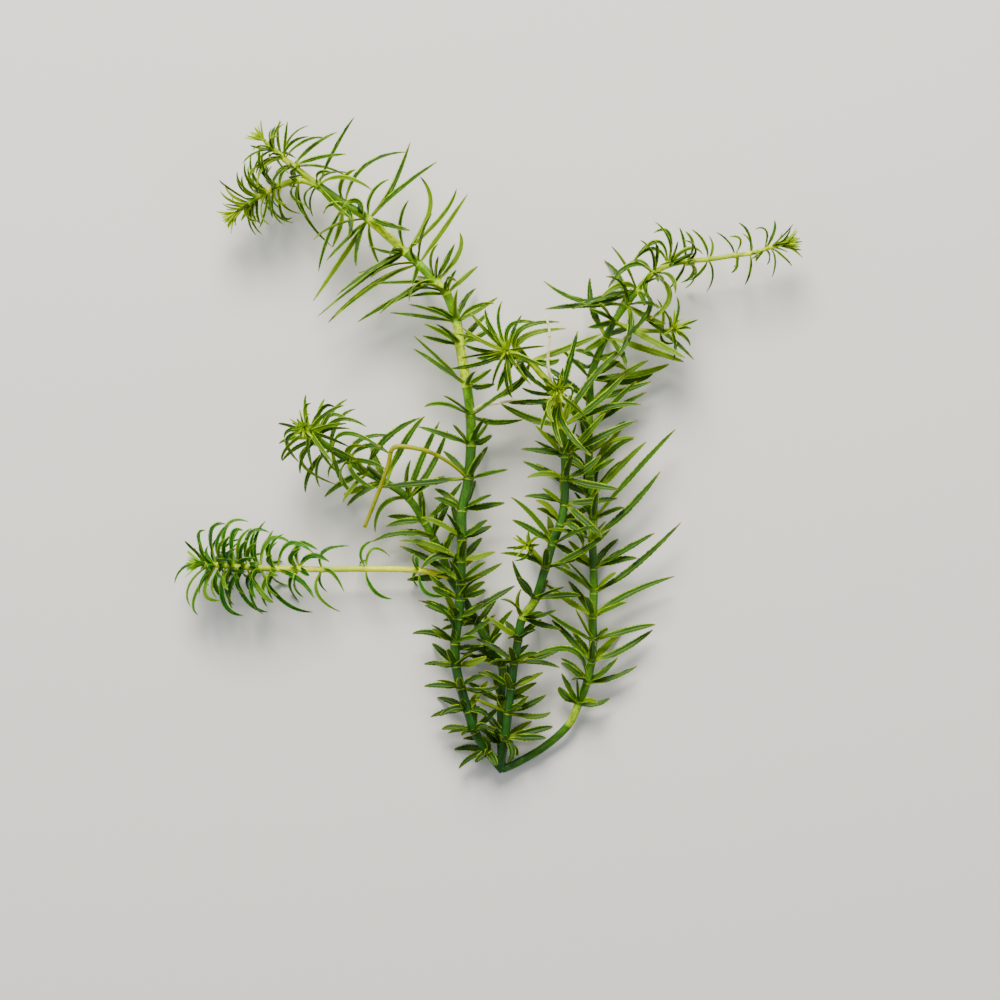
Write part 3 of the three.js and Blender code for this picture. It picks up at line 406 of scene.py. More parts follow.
LEAF_FINISHES = {
    Skin.MATURE: LeafBlade(
        "living_leaf_blade", old="#30541A", mature="#3A6C18", young="#225A10",
        midrib="#9CDC10", margin_and_highlight="#D8FF00", tip="#B8903A",
    ),
    Skin.YOUNG: LeafBlade(
        "young_leaf_blade", old="#1E4A12", mature="#2A6212", young="#28660E",
        midrib="#ACF00C", margin_and_highlight="#E2FF08", tip="#CCC44A",
    ),
    Skin.SIDE: LeafBlade(
        "side_shoot_leaf_blade", old="#124A12", mature="#1C701C", young="#267C20",
        midrib="#98F010", margin_and_highlight="#CCFF10", tip="#B0C84C",
    ),
}
STEM_FINISHES = {
    Skin.MATURE: StemSkin(
        "green_stem_skin", shade="#183C12", old="#265C16", young="#88C800", ring="#E8FC00"
    ),
    Skin.YOUNG: StemSkin(
        "young_stem_skin", shade="#507C10", old="#90C00C", young="#C4DC00", ring="#F4FF08"
    ),
    Skin.SIDE: StemSkin(
        "pale_stalk_skin", shade="#98BC20", old="#3E9214", young="#F0F400", ring="#FCFF30"
    ),
}
ROOT_FINISHES = {
    Skin.WHITE_ROOT: RootSkin("white_root_skin", fresh="#F4F0BC", aged="#B08A5C"),
    Skin.BROWN_ROOT: RootSkin("brown_root_skin", fresh="#98A000", aged="#666808"),
}
TABLE_FINISH = TableTop("pale_matt_table", colour="#ECEBE6")


def place(x: float, y: float, height: float) -> Points:
    """Turns a grid point and a height to millimetres from the origin."""
    return np.array([(x - GRID_MIDDLE_X) * GRID_STEP, (GRID_MIDDLE_Y - y) * GRID_STEP, height])


@dataclass(kw_only=True)
class Strand:
    """A stem or a root, round all along.

    Attributes:
        name: The solid's node that it stands for.
        skin: Which of the record's finishes it has.
        radius: Its radius at its base, middle and tip.
        nodes: Where it runs, a row for each node.
        youth_and_highlight: Pairs of share of its nodes and how young it looks there: 0 is old, 1 is
        new, and what is above 1 is nearly a bud. Part of it is painted highlight: it was set higher
        towards the tips, where light fell brightest.
        pale: Its pale stretches, painted highlight where light fell on the stem: number of the node below
        and how young it looks.
        spot: Share of its length where a root has a brown spot, if it has one.
    """

    name: str
    skin: Skin
    radius: tuple[float, float, float]
    nodes: list[NodeRow]
    youth_and_highlight: tuple[tuple[float, float], ...] = ((0, 0.5), (1, 0.5))
    pale: tuple[tuple[int, float], ...] = ()
    spot: float | None = None

    def path(self) -> Points:
        """Gives its nodes in millimetres from the origin."""
        return np.array([place(*row[:3]) for row in self.nodes])


@dataclass(kw_only=True)
class Shoot(Strand):
    """A stem or branch with the whorls of leaves that grow on it.

    Attributes:
        drawn: Leaves that are placed one by one. Each takes one place of its whorl.
        bud: Number of small folded leaves at the growing tip.
        breadth: Width of its leaves as a share of the width that their habit has.
    """

    drawn: list[DrawnRow] = field(default_factory=list)
    bud: int = 0
    breadth: float = 1.0


MAIN_STEM = Shoot(
    name="main_stem",
    skin=Skin.MATURE,
    radius=(1.15, 1.3, 1.05),
    youth_and_highlight=((0, 0), (0.35, 0.2), (0.5, 0.25), (0.57, 0.45), (0.64, 0.8), (1, 0.9)),
    pale=((10, 0.4), (16, 0.85), (17, 1), (19, 1), (22, 0.95)),
    nodes=[
        (503, 772, 3.2), (488, 753, 4.5, OLD), (475, 733, 6, OLD), (468, 712, 7, OLD), (461, 689, 8, OLD),
        (456, 667, 8.5, OLD), (455, 644, 9.2, OLD), (458, 619, 10, OLD), (460, 600, 10.5, LOW),
        (461, 584, 11, LOW), (461, 562, 11.3, LOW), (462, 540, 11.6, MIDDLE), (462, 511, 12, MIDDLE),
        (468.5, 479, 12.3, MIDDLE), (471, 446, 12.6, MIDDLE), (470.5, 416, 13, MIDDLE),
        (467, 387, 13.2, MIDDLE), (460, 346, 13.5, MIDDLE), (457, 323, 13.6, HIGH),
        (447, 295, 13.8, HIGH), (436.5, 283, 13.8, HIGH), (419, 265, 13.6, HIGH), (406, 253, 13.4, HIGH),
        (369, 220, 13, HIGH), (345.5, 205, 12.8, HIGH), (319, 186.5, 12.6, ARCHED), (315, 183.5, 12.6),
    ],
    drawn=[
        (1, 482, 757, 475, 763.5, 1), (1, 493, 759, 497, 767, 3), (1, 490, 744, 482, 736, 3),
        (2, 455, 729, 441.5, 730.5, 0), (3, 455, 709, 439.5, 716.5, 0), (3, 480, 711, 488, 717.5, 3),
        (4, 482, 692, 500, 686, -2), (5, 443, 666, 432, 662.5, 0), (5, 474, 663, 487, 656.5, 1),
        (6, 433, 634, 412, 634, -1), (6, 447, 616, 418, 600, 2), (6, 480, 628, 496, 614.5, 2),
        (6, 441, 635, 432, 629, 3), (7, 474, 611, 484, 603, 2), (7, 490, 601, 515, 586, -2),
        (8, 441, 587, 429.5, 574.5, 1), (8, 440, 592, 432, 586, 3), (8, 478, 594, 486, 590, 2),
        (8, 470, 584, 482, 577, 4), (9, 483, 575, 502.5, 563, 0), (9, 474, 571, 486, 562, 4),
        (9, 431, 562, 399, 546, -1), (10, 482, 557, 495.5, 552, 2), (10, 431, 546, 399, 541, 2),
        (10, 440, 556, 421, 569, -2), (11, 476, 529, 488, 520, 2), (11, 478, 533, 492, 526, -1),
        (12, 478, 502, 492, 495, 3), (12, 484, 507, 505, 503, 0), (12, 448, 503, 434, 498, 2),
        (13, 456, 464, 443, 451, 3), (13, 476, 465, 483, 452, 3), (13, 489, 475, 508, 470, 0),
        (13, 420, 484, 376, 488, 1), (14, 445, 436, 418, 427, 0), (14, 461, 435, 453, 425, 4),
        (14, 481, 435, 489, 423, 3), (14, 482, 442, 492, 435, -2), (15, 458, 405, 444, 397, 3),
        (15, 445, 406, 425, 408, 0), (15, 492, 403, 522, 379, 3), (15, 491, 423, 523, 419.5, -3),
        (16, 440, 362, 414, 337, 2), (16, 438, 366, 413, 349, -1), (16, 480, 379, 492, 370, 3),
        (16, 480, 388, 495, 384, -2), (17, 442, 334, 424, 325, 2), (17, 441, 342, 422, 336, -2),
        (17, 478, 338, 492, 330, 2), (18, 456, 307, 458, 291, 3), (18, 479, 311, 498, 298, 0),
        (18, 424, 318, 390, 313.5, 0), (18, 434, 313, 409, 306, 3), (19, 451, 283, 457, 271, 3),
        (19, 464, 280, 478, 267, 0), (19, 428, 296, 410, 298, 3), (20, 437, 270, 439, 257, 3),
        (20, 447, 263, 455, 245, 1), (20, 459, 256, 460, 233, -1), (20, 410, 292, 380, 315, 0),
        (20, 406, 284, 375, 285, 3), (20, 397, 300, 357.5, 322.5, -3), (21, 444, 232, 468, 195, 1),
        (21, 378, 285, 334, 319, 1), (21, 417, 276, 413, 286, 4), (21, 372, 287, 328, 323.5, -2),
        (22, 431, 210, 420, 177, 0), (22, 443, 218, 457, 190, 3), (22, 370, 277, 318, 318, 2),
        (22, 388, 254, 369, 247, 4), (22, 376, 269, 337, 297.5, 4), (22, 384, 268, 358.5, 274, 1),
        (23, 373, 196, 390, 181, 3), (23, 391, 192, 410.5, 142, -2), (23, 399, 192, 438, 163, 1),
        (23, 359, 244, 357, 267, 2), (23, 389, 227, 411, 233, 4), (23, 343, 259, 313, 301.5, -3),
        (23, 373, 245, 381, 266.5, -1), (23, 348, 241, 327.5, 262, 3), (24, 366, 168, 408, 153.5, 2),
        (24, 352, 222, 349, 240, 3), (24, 341, 228, 333, 248, 0), (24, 329, 238, 318.5, 272, -4),
        (24, 360, 204, 363, 221, 4), (25, 337, 150, 356, 120, 0), (25, 345, 180, 374, 194, 3),
        (25, 335, 206, 355, 223, 1),
    ],
)
MAIN_STEM_LEFT_TIP = Shoot(
    name="main_stem_left_tip",
    skin=Skin.YOUNG,
    radius=(0.85, 0.75, 0.45),
    youth_and_highlight=((0, 0.9), (0.5, 1), (1, 1.35)),
    bud=20,
    nodes=[
        (318, 185.5, 12.6), (300, 181, 12.8, ARCHED), (280, 186.5, 13, YOUNG), (270, 191.5, 13, YOUNG),
        (260, 197, 13, TUFT), (252, 202.5, 13, TUFT), (244, 208, 13, BUD), (238, 212, 13),
    ],
    drawn=[
        (1, 305, 213, 333, 247, -2), (2, 283, 215, 293, 218, 1), (3, 266, 214, 260, 229, 0),
        (3, 272, 208, 274, 219.5, 3), (4, 250, 178, 266, 163, 1), (4, 249, 216, 260, 222, 3),
        (4, 243, 186, 238, 171.5, 0), (5, 232, 190, 220, 181, 2), (5, 247, 213, 241.5, 221.5, 1),
        (6, 236, 206, 226, 205, 1), (6, 237, 212, 229, 216, 0), (6, 241, 214, 234, 221.5, 2),
    ],
)
MAIN_STEM_UPPER_TIP = Shoot(
    name="main_stem_upper_tip",
    skin=Skin.YOUNG,
    radius=(0.85, 0.75, 0.5),
    youth_and_highlight=((0, 0.9), (1, 1)),
    bud=17,
    nodes=[
        (317, 185, 12.7), (295, 168, 13.6, ARCHED), (285, 160, 14, YOUNG), (276, 152, 14.3, TUFT),
        (266, 143, 14.5),
    ],
    drawn=[
        (1, 313, 148, 338, 133, 0), (1, 320, 160, 348, 157, 3), (1, 322, 168, 347, 177, -1),
        (2, 279, 140, 281, 120, 0), (2, 287, 141, 289, 123, 3), (3, 262, 150, 251, 147, 0),
        (2, 306, 143, 326, 140, 2),
    ],
)
MIDDLE_STEM = Shoot(
    name="middle_stem",
    skin=Skin.MATURE,
    radius=(1.05, 1.1, 1),
    youth_and_highlight=((0, 0), (0.4, 0.15), (0.85, 0.25), (1, 0.6)),
    pale=((6, 0.55), (14, 0.7)),
    nodes=[
        (500, 768, 3.6), (505, 740, 7, OLD), (508, 714, 8.6, OLD), (511, 689, 9, OLD),
        (514, 664, 9.4, OLD), (518, 641, 9.8, OLD), (522, 619, 10.2, OLD), (535, 600, 10.6, LOW),
        (545, 569, 11, LOW), (552, 545, 11.4, MIDDLE), (560, 524.5, 11.8, MIDDLE),
        (564, 505, 12.2, MIDDLE), (565, 480.5, 12.6, MIDDLE), (564.5, 457, 13.2, MIDDLE),
        (562, 428, 14.2, MIDDLE), (559, 412, 15.4),
    ],
    drawn=[
        (1, 535, 731, 553, 727.5, 0), (1, 531, 738, 546, 738.5, 2), (1, 512, 751, 508, 763, 1),
        (2, 535, 718, 551, 712.5, -1), (2, 519, 706, 529, 695.5, 3), (2, 530, 705, 546.5, 695, 0),
        (3, 528, 681, 543.5, 672.5, 1), (4, 537, 663, 560, 668, 1), (4, 538, 658, 561, 649.5, -1),
        (5, 528, 630, 542, 620, -2), (6, 540, 625, 562, 630, 0), (6, 540, 617, 556.5, 609.5, 3),
        (6, 516, 603, 521.5, 588, 3), (7, 562, 596, 581, 596, -2), (7, 521, 584, 512, 560, 1),
        (8, 527, 558, 500, 553, 0), (8, 583, 551, 611, 528.5, 4), (8, 545, 557, 546.5, 548, 4),
        (8, 560, 565, 569, 570, 3), (9, 534, 519, 510.5, 497, 0), (9, 531, 530, 512, 520, 2),
        (9, 566, 551, 576, 556.5, 0), (10, 548, 508, 535.5, 500.5, 2), (10, 549, 514, 536.5, 509, -1),
        (10, 576, 524, 586.5, 536, 0), (10, 576, 530, 583, 547, 3), (11, 546, 498, 524, 496.5, 0),
        (11, 552, 497, 542, 488, 3), (11, 590, 502, 617.5, 498.5, 0), (11, 584, 521, 602, 538, 4),
        (12, 545, 472, 522.5, 461.5, 0), (12, 546, 475, 527, 478, 2), (12, 594, 486, 618.5, 489.5, 2),
        (12, 585, 470, 601, 455, 0), (13, 545, 452, 520.5, 449.5, 0), (13, 548, 441, 535, 426, 3),
        (13, 586, 436, 605, 413, 3), (13, 603, 436, 636.5, 421, 0), (13, 575, 462, 583.5, 469.5, 1),
        (13, 571, 441, 576, 423, 4), (14, 528, 418, 501, 404, -2), (14, 598, 402, 625, 374, 1),
        (14, 604, 409, 641, 405, -2), (14, 592, 380, 624.5, 348, -2), (14, 550, 415, 541, 398, -1),
        (14, 553, 413, 547.5, 400, 2), (14, 567, 411, 570, 395, 2),
    ],
)
MIDDLE_STEM_LEFT_BRANCH = Shoot(
    name="middle_stem_left_branch",
    skin=Skin.YOUNG,
    radius=(0.85, 0.8, 0.55),
    youth_and_highlight=((0, 0.6), (1, 0.85)),
    bud=14,
    nodes=[
        (559, 413.5, 15), (552, 388, 16.4), (541, 375, 17.2), (530, 363, 18.2, LOW),
        (518, 357, 19.6, LOW), (510, 354, 21.6, ARCHED), (507.5, 353, 23.6, YOUNG), (506.5, 352.5, 25),
    ],
    drawn=[
        (3, 565, 350, 601, 335, 0), (3, 549, 364, 559, 360, 2), (3, 521, 383, 498, 399, -2),
        (4, 525, 371, 541.5, 388.5, -2), (4, 526, 338, 566, 330, -1), (4, 521, 331, 560, 323.5, 1),
        (4, 500, 385, 490, 427, -4), (5, 478, 365, 450, 369.5, -3), (5, 508, 370, 512.5, 390, 0),
        (5, 489, 335, 470.5, 314.5, 0), (5, 484, 352, 464, 345.5, -2), (5, 510, 328, 537, 324.5, 2),
        (6, 483, 343, 461.5, 328.5, 0), (6, 481, 342, 456, 335, -2), (6, 498, 325, 502, 303, 0),
        (6, 490, 328, 485.5, 311, 2),
    ],
)
MIDDLE_STEM_FRONT_TIP = Shoot(
    name="middle_stem_front_tip",
    skin=Skin.YOUNG,
    radius=(0.85, 0.75, 0.55),
    youth_and_highlight=((0, 0.7), (1, 1)),
    bud=14,
    nodes=[
        (559, 413, 15.4), (558, 402, 19, MIDDLE), (557, 395, 22.4, ARCHED), (556.5, 392, 25, BUD),
        (556.5, 391.5, 26.6),
    ],
    drawn=[
        (1, 553.5, 424, 562, 449, 0), (1, 565, 429, 590.5, 457, 1), (1, 545, 381, 529, 369, 2),
        (1, 567, 370, 577, 332, 1), (1, 522, 402, 503, 405, -2), (2, 560, 381, 562, 369, 2),
        (2, 545, 389, 536, 381, 3), (2, 571, 391, 564, 414, 1), (2, 536, 394, 521.5, 389.5, 1),
        (2, 548, 409, 553, 424, 0),
    ],
)
SMALL_SHOOT = Shoot(
    name="small_shoot",
    skin=Skin.YOUNG,
    radius=(0.65, 0.6, 0.45),
    youth_and_highlight=((0, 0.5), (1, 0.8)),
    bud=10,
    nodes=[
        (544, 565, 11), (537, 556, 14), (531, 549, 16, SPROUT), (528, 546, 17.6, SPROUT),
        (527, 545, 18.8),
    ],
    drawn=[
        (2, 517, 547, 506, 548, 0), (2, 524, 558, 514, 560, 1), (3, 533, 539, 540, 536, 1),
    ],
)
RIGHT_STEM = Shoot(
    name="right_stem",
    skin=Skin.MATURE,
    radius=(1, 1.05, 0.8),
    youth_and_highlight=((0, 0.1), (0.15, 0.35), (0.6, 0.3), (0.9, 0.5), (1, 0.9)),
    pale=((3, 0.6), (11, 0.5), (16, 0.5), (23, 0.75), (24, 0.95)),
    nodes=[
        (502, 771, 3), (518, 764, 2.4), (545, 748, 2.6), (568, 727, 3.6), (578.5, 706, 4.6, OLD),
        (587, 684, 5.4, OLD), (591.5, 663.5, 6, LOW), (593.5, 642, 6.4, LOW), (593, 618.5, 6.8, MIDDLE),
        (594, 594, 7, MIDDLE), (594, 569.5, 7.3, MIDDLE), (592.5, 540, 7.6, MIDDLE),
        (593.5, 521, 7.9, LONG), (592, 499, 8.1, LONG), (590, 476, 8.4, LONG), (589, 454, 8.6, MIDDLE),
        (589, 430, 8.8, MIDDLE), (590, 404, 9, MIDDLE), (590.5, 379, 9.3, MIDDLE),
        (596.5, 359, 9.8, MIDDLE), (605.5, 338, 10.4, MIDDLE), (614, 321.5, 11, MIDDLE),
        (625.5, 305.5, 11.6, HIGH), (636.5, 291.5, 12.2, HIGH), (652, 274, 12.6, HIGH),
        (656, 271.5, 12.6),
    ],
    drawn=[
        (4, 564, 697, 559, 688, 0), (4, 577.5, 692, 577, 679, 3), (4, 569, 690, 561.5, 674, 1),
        (4, 596, 706, 611, 699, 0), (5, 570, 650, 521, 661, 1), (5, 573, 671, 561.5, 663.5, -1),
        (5, 604, 673, 618.5, 658, 1), (5, 611, 680, 638, 667, -1), (6, 624, 650, 654, 630, 0),
        (6, 571, 641, 551.5, 620, 0), (7, 583, 624, 575.5, 609, 3), (7, 569, 629, 548, 614, 0),
        (7, 629, 631, 656, 625, 0), (7, 604, 633, 608, 629, 3), (8, 567, 601, 545, 584, 0),
        (8, 612, 609, 627, 602.5, 3), (8, 628, 595, 675.5, 576.5, 0), (9, 634, 568, 682, 522, 1),
        (9, 608, 580, 616.5, 573, 3), (9, 573, 577, 554, 567, 0), (10, 618, 561, 637.5, 558.5, 0),
        (10, 625, 551, 655, 533, 3), (10, 580, 554, 568, 540.5, 2), (10, 575, 558, 561, 547, -1),
        (11, 628, 510, 661, 471, 1), (11, 584, 555, 564, 564, -1), (12, 640, 468, 676, 429, 1),
        (12, 612, 512, 624, 508, 0), (14, 614, 449, 634, 439, 1), (14, 604, 466, 615, 459, 3),
        (16, 614, 404, 637, 381, 2), (16, 620, 408, 647.5, 392, 0), (17, 622, 377, 648.5, 360.5, 1),
        (17, 622, 392, 652, 381.5, -1), (18, 608, 369, 620, 361.5, 2), (18, 607, 379, 621, 374.5, 4),
        (18, 638, 374, 670, 363.5, -1), (18, 630, 382, 655, 371, -3), (19, 585, 353, 575, 351, 2),
        (19, 587, 368, 576.5, 358.5, -1), (19, 622, 367, 643.5, 387, 2), (19, 611, 356, 624.5, 348.5, 4),
        (20, 592, 308, 590, 277, -3), (20, 619, 352, 625, 367.5, 3), (20, 650, 351, 684, 362, -2),
        (20, 594, 346, 583, 352, 2), (21, 601, 316, 588, 311, 2), (21, 600, 327, 587, 329, 0),
        (21, 655, 344, 684, 359, 0), (21, 604, 311, 598, 306, 3), (22, 586, 306, 544.5, 309.5, 0),
        (22, 629, 332, 614, 361, 3), (22, 662, 333, 693.5, 361, -1), (22, 646, 318, 665, 324.5, 1),
        (23, 588, 303, 543, 281.5, -1), (23, 604, 298, 572, 310, 2), (23, 648, 309, 621, 341, 2),
        (23, 621, 286, 600, 299, 4), (23, 641, 298, 644, 307, 3), (24, 630, 267, 607, 290, 0),
        (24, 643, 291, 657, 311, 2), (24, 668, 298, 648, 321, -1), (24, 637, 261, 625, 271, -2),
        (24, 655, 247, 643, 252, 3), (24, 658, 278, 661, 286, 3),
    ],
)
RIGHT_STEM_TIP = Shoot(
    name="right_stem_tip",
    skin=Skin.YOUNG,
    radius=(0.75, 0.58, 0.45),
    youth_and_highlight=((0, 0.85), (1, 1)),
    bud=14,
    nodes=[
        (653, 273.4, 12.6), (667.5, 266, 12.8, ARCHED), (685, 262, 12.8, ARCHED),
        (707, 260, 12.8, SPARSE), (734, 256, 12.8, SPARSE), (749.5, 254, 12.8, SPARSE),
        (763.5, 250, 12.8, SPARSE), (769, 248, 12.8, BUD), (777, 246, 12.8, BUD), (782, 245, 12.8),
    ],
    drawn=[
        (1, 668, 235, 653, 234, 1), (1, 652, 250, 630, 266, 1), (1, 657, 243, 634, 260, 3),
        (1, 673, 254, 677, 242, 3), (1, 681, 259, 692.5, 254.5, 4), (1, 688, 250, 702, 256, 2),
        (2, 683, 243, 679, 227.5, -2), (2, 678, 276, 668.5, 289, 0), (3, 703, 243, 691, 230, 0),
        (3, 700, 272, 689.5, 281, 1), (4, 728, 243, 715.5, 232, -2), (4, 739, 241, 728, 238, 2),
        (4, 736, 266, 730.5, 273.5, 0), (5, 747.5, 235, 737.5, 223.5, 1), (5, 749, 271, 744, 285.5, 0),
        (6, 765, 232, 754, 230, 0), (6, 773, 233, 774, 220, -2), (6, 757, 257, 754.5, 262.5, 1),
        (7, 774, 261, 771, 278.5, 0), (7, 782, 236, 792.5, 224.5, 1), (7, 782, 257, 791.5, 267, 0),
        (8, 789, 243, 800, 242.5, 0), (8, 788, 249, 801, 251, 0), (8, 786, 242, 793, 238, 2),
    ],
)
RIGHT_STEM_SIDE_SHOOT = Shoot(
    name="right_stem_side_shoot",
    skin=Skin.YOUNG,
    radius=(0.6, 0.55, 0.4),
    youth_and_highlight=((0, 0.7), (1, 0.9)),
    bud=10,
    nodes=[
        (613, 322.5, 10.8), (640, 330, 10.5), (660, 331, 11, SPARSE), (669, 330, 12.6, TUFT),
        (672, 329, 14),
    ],
    drawn=[
        (3, 670.5, 322, 669.5, 316, 1), (3, 682, 328, 691, 329, 0), (3, 683, 336, 690, 346, 0),
        (3, 673, 325, 678.5, 320, 2), (2, 663, 342, 674, 343, 0),
    ],
)
LEFT_STEM = Shoot(
    name="left_stem",
    skin=Skin.MATURE,
    radius=(1, 1, 0.75),
    youth_and_highlight=((0, 0), (0.3, 0.35), (0.6, 0.4), (0.93, 0.45), (1, 0.95)),
    bud=20,
    nodes=[
        (502, 769, 3), (501, 745, 3.6, OLD), (501, 705, 4.2, OLD), (502, 668, 4.8, OLD),
        (490, 649, 5.3, OLD), (478, 625, 5.8, OLD), (464, 600, 6.1), (450, 578, 6.5, LOW),
        (443, 558, 7, LOW), (433.5, 539, 7.5, LOW), (425, 523, 8, LOW), (409, 499, 8.8, LOW),
        (387, 483, 9.6, MIDDLE), (368, 473, 10.2, MIDDLE), (349, 461, 11, ARCHED),
        (333, 450, 12.4, ARCHED), (320, 440, 15, YOUNG), (312, 433, 18.4, YOUNG), (308, 430, 22, BUD),
        (306.5, 429, 24),
    ],
    drawn=[
        (1, 513, 750, 517, 757, 1), (1, 491, 740, 484, 729, 1), (9, 403, 534, 372, 542, 2),
        (9, 409, 533, 386.5, 537.5, -2), (10, 405, 522, 386, 526.5, 0), (10, 446, 503, 462, 482, 0),
        (10, 424, 509, 423, 497, 4), (11, 384, 506, 375, 533, -2), (11, 421, 462, 440, 421, 1),
        (11, 431, 469, 447.5, 430, 3), (11, 408, 479, 411, 460, 4), (11, 427, 486, 445, 476, -1),
        (12, 405, 443, 425, 416, 0), (13, 385, 441, 421, 418, 2), (14, 358, 478, 376, 488, 1),
        (14, 368, 462, 386, 469.5, 2), (14, 361, 440, 395, 436, -1), (14, 369, 446, 391, 455, 2),
        (15, 348, 434, 383, 449, 1), (15, 341, 477, 353.5, 493, 0), (16, 303, 462, 338, 485, -1),
        (16, 330, 416, 351.5, 422.5, 0), (16, 340, 420, 367.5, 427.5, 2), (17, 289, 440, 301, 463, 0),
        (17, 324, 408, 337.5, 409, 1), (17, 306, 411, 312.5, 404, 2), (17, 292, 430, 286, 439, 2),
    ],
)
LEFT_SIDE_SHOOT = Shoot(
    name="left_side_shoot",
    skin=Skin.SIDE,
    radius=(0.75, 0.75, 0.6),
    youth_and_highlight=((0, 1), (0.33, 0.95), (0.46, 0.5), (0.75, 0.45), (1, 0.85)),
    bud=20,
    breadth=1.3,
    nodes=[
        (449, 577, 6.8), (420, 570.5, 8, SPARSE), (366, 569, 8.8, SPARSE), (323, 569.5, 9.2, SPARSE),
        (300, 569, 9.4, ARCHED), (278, 569, 9.6, YOUNG), (261, 568, 9.8, YOUNG), (247, 567.5, 10, YOUNG),
        (236, 567, 10, YOUNG), (226, 566, 10, YOUNG), (217, 565, 10, TUFT), (210, 564, 10, BUD),
        (204, 563.5, 10),
    ],
    drawn=[
        (1, 426, 592, 449, 595, 2), (1, 417, 560, 419, 552, 2), (2, 373, 550, 390, 557, 0),
        (2, 362, 551, 374, 540.5, 2), (2, 374, 590, 392, 599, 0), (3, 324, 552, 350, 546, 0),
        (3, 318, 593, 341, 612, 0), (3, 335, 574, 345, 592, 2), (4, 299, 545, 318, 550, 0),
        (4, 312, 556, 330, 562, 3), (4, 306, 572, 310, 575.5, 4), (5, 290, 544, 314, 553, 1),
        (5, 301, 580, 315, 598, 2), (6, 270, 540, 293, 545, 0), (6, 283, 600, 313, 612, -1),
        (7, 250, 535, 270, 533, 0), (7, 262, 592, 274, 602, 2), (8, 233, 536, 243.5, 530.5, 2),
        (8, 246, 598, 268, 612, 0), (9, 227, 528, 248.5, 522, 0), (9, 224, 601, 243.5, 615.5, 0),
        (10, 212, 532, 226, 524, 1), (10, 206, 592, 221, 600, 2), (10, 196, 596, 198, 615, 0),
        (11, 199, 538, 205.5, 530.5, 0), (11, 194, 549, 185, 540.5, 1), (11, 186, 567, 175, 583.5, 1),
        (11, 190, 586, 191.5, 607, 0),
    ],
)

SHOOTS = [
    MAIN_STEM,
    MAIN_STEM_LEFT_TIP,
    MAIN_STEM_UPPER_TIP,
    MIDDLE_STEM,
    MIDDLE_STEM_LEFT_BRANCH,
    MIDDLE_STEM_FRONT_TIP,
    SMALL_SHOOT,
    RIGHT_STEM,
    RIGHT_STEM_TIP,
    RIGHT_STEM_SIDE_SHOOT,
    LEFT_STEM,
    LEFT_SIDE_SHOOT,
]


ROOTS = [
    Strand(
        name="white_root_upright",
        skin=Skin.WHITE_ROOT,
        radius=(0.4, 0.38, 0.3),
        nodes=[
            (551, 386, 16.6), (550, 379, 19), (547.5, 363, 20.5), (549, 333, 21), (545, 317, 21),
        ],
        spot=0.7,
    ),
    Strand(
        name="white_root_across",
        skin=Skin.WHITE_ROOT,
        radius=(0.4, 0.38, 0.3),
        nodes=[
            (470.5, 413, 13), (480, 406.5, 14.5), (494, 404, 15), (513, 401.5, 14), (530, 403, 12.5),
            (545, 402, 11.6), (562, 399, 11.4), (576, 396.5, 11.8),
        ],
    ),
    Strand(
        name="brown_root",
        skin=Skin.BROWN_ROOT,
        radius=(0.35, 0.62, 0.5),
        nodes=[
            (468, 479, 12.3), (455, 467, 16.5), (440, 457, 20), (424, 450.5, 22), (403, 447, 22.6),
            (393, 450, 22), (389, 466, 20.5), (379, 493, 18), (365, 527, 15),
        ],
        spot=0.55,
    ),
]

# Turns tried for a leaf that would touch another one: degrees round the stem, degrees of lean
# and share of the length.
WHORL_TRIES = [
    (0, 0, 1), (9, 0, 1), (-9, 0, 1), (0, -10, 1), (0, 10, 1), (18, 0, 1), (-18, 0, 1),
    (12, -12, 1), (-12, -12, 1), (12, 12, 1), (-12, 12, 1), (27, 0, 1), (-27, 0, 1),
    (0, -20, 0.9), (0, 20, 0.9), (0, 0, 0.75), (15, 0, 0.75), (-15, 0, 0.75), (0, -20, 0.7),
    (24, -20, 0.75), (-24, -20, 0.75), (0, 0, 0.5), (20, -15, 0.5), (-20, -15, 0.5),
]
# Leaves that stand between the others in the whorls that are fuller than their solids, with the
# least share of the whorl's length that they have.
INNER_LEAVES = {
    YOUNG: (6, 0.92), TUFT: (6, 0.9), BUD: (5, 0.8), OLD: (2, 0.75), ARCHED: (2, 0.75), HIGH: (2, 0.75),
}
# Changes of height tried for a drawn leaf, with its share of the length.
DRAWN_TRIES = [
    (0, 1), (1.5, 1), (-1.5, 1), (3, 1), (-3, 1), (4.5, 1), (-4.5, 1), (6, 1), (7.5, 1), (0, 0.8),
    (2, 0.8), (-2, 0.8), (4, 0.8), (0, 0.6), (3, 0.6), (-3, 0.6), (0, 0.4),
]


def spread(count: float, stride: float) -> float:
    """Gives a number from 0 to 1 that is spread evenly as the count goes up."""
    return (count * stride) % 1


def unit(vector: Points) -> Points:
    """Scales a vector to length 1."""
    return vector / (np.linalg.norm(vector) or 1.0)


def radius_at(radius: Sequence[float], share: Any) -> Any:
    """Gives a stem's radius at one share of its nodes, or at several."""
    return np.interp(share, (0, 0.5, 1), radius)


def youth_at(youth_and_highlight: Sequence[tuple[float, float]], share: Any) -> Any:
    """Gives how young a shoot looks at one share of its nodes, or at several; part of it is painted
    highlight towards the tips.
    """
    return np.interp(share, *zip(*youth_and_highlight))


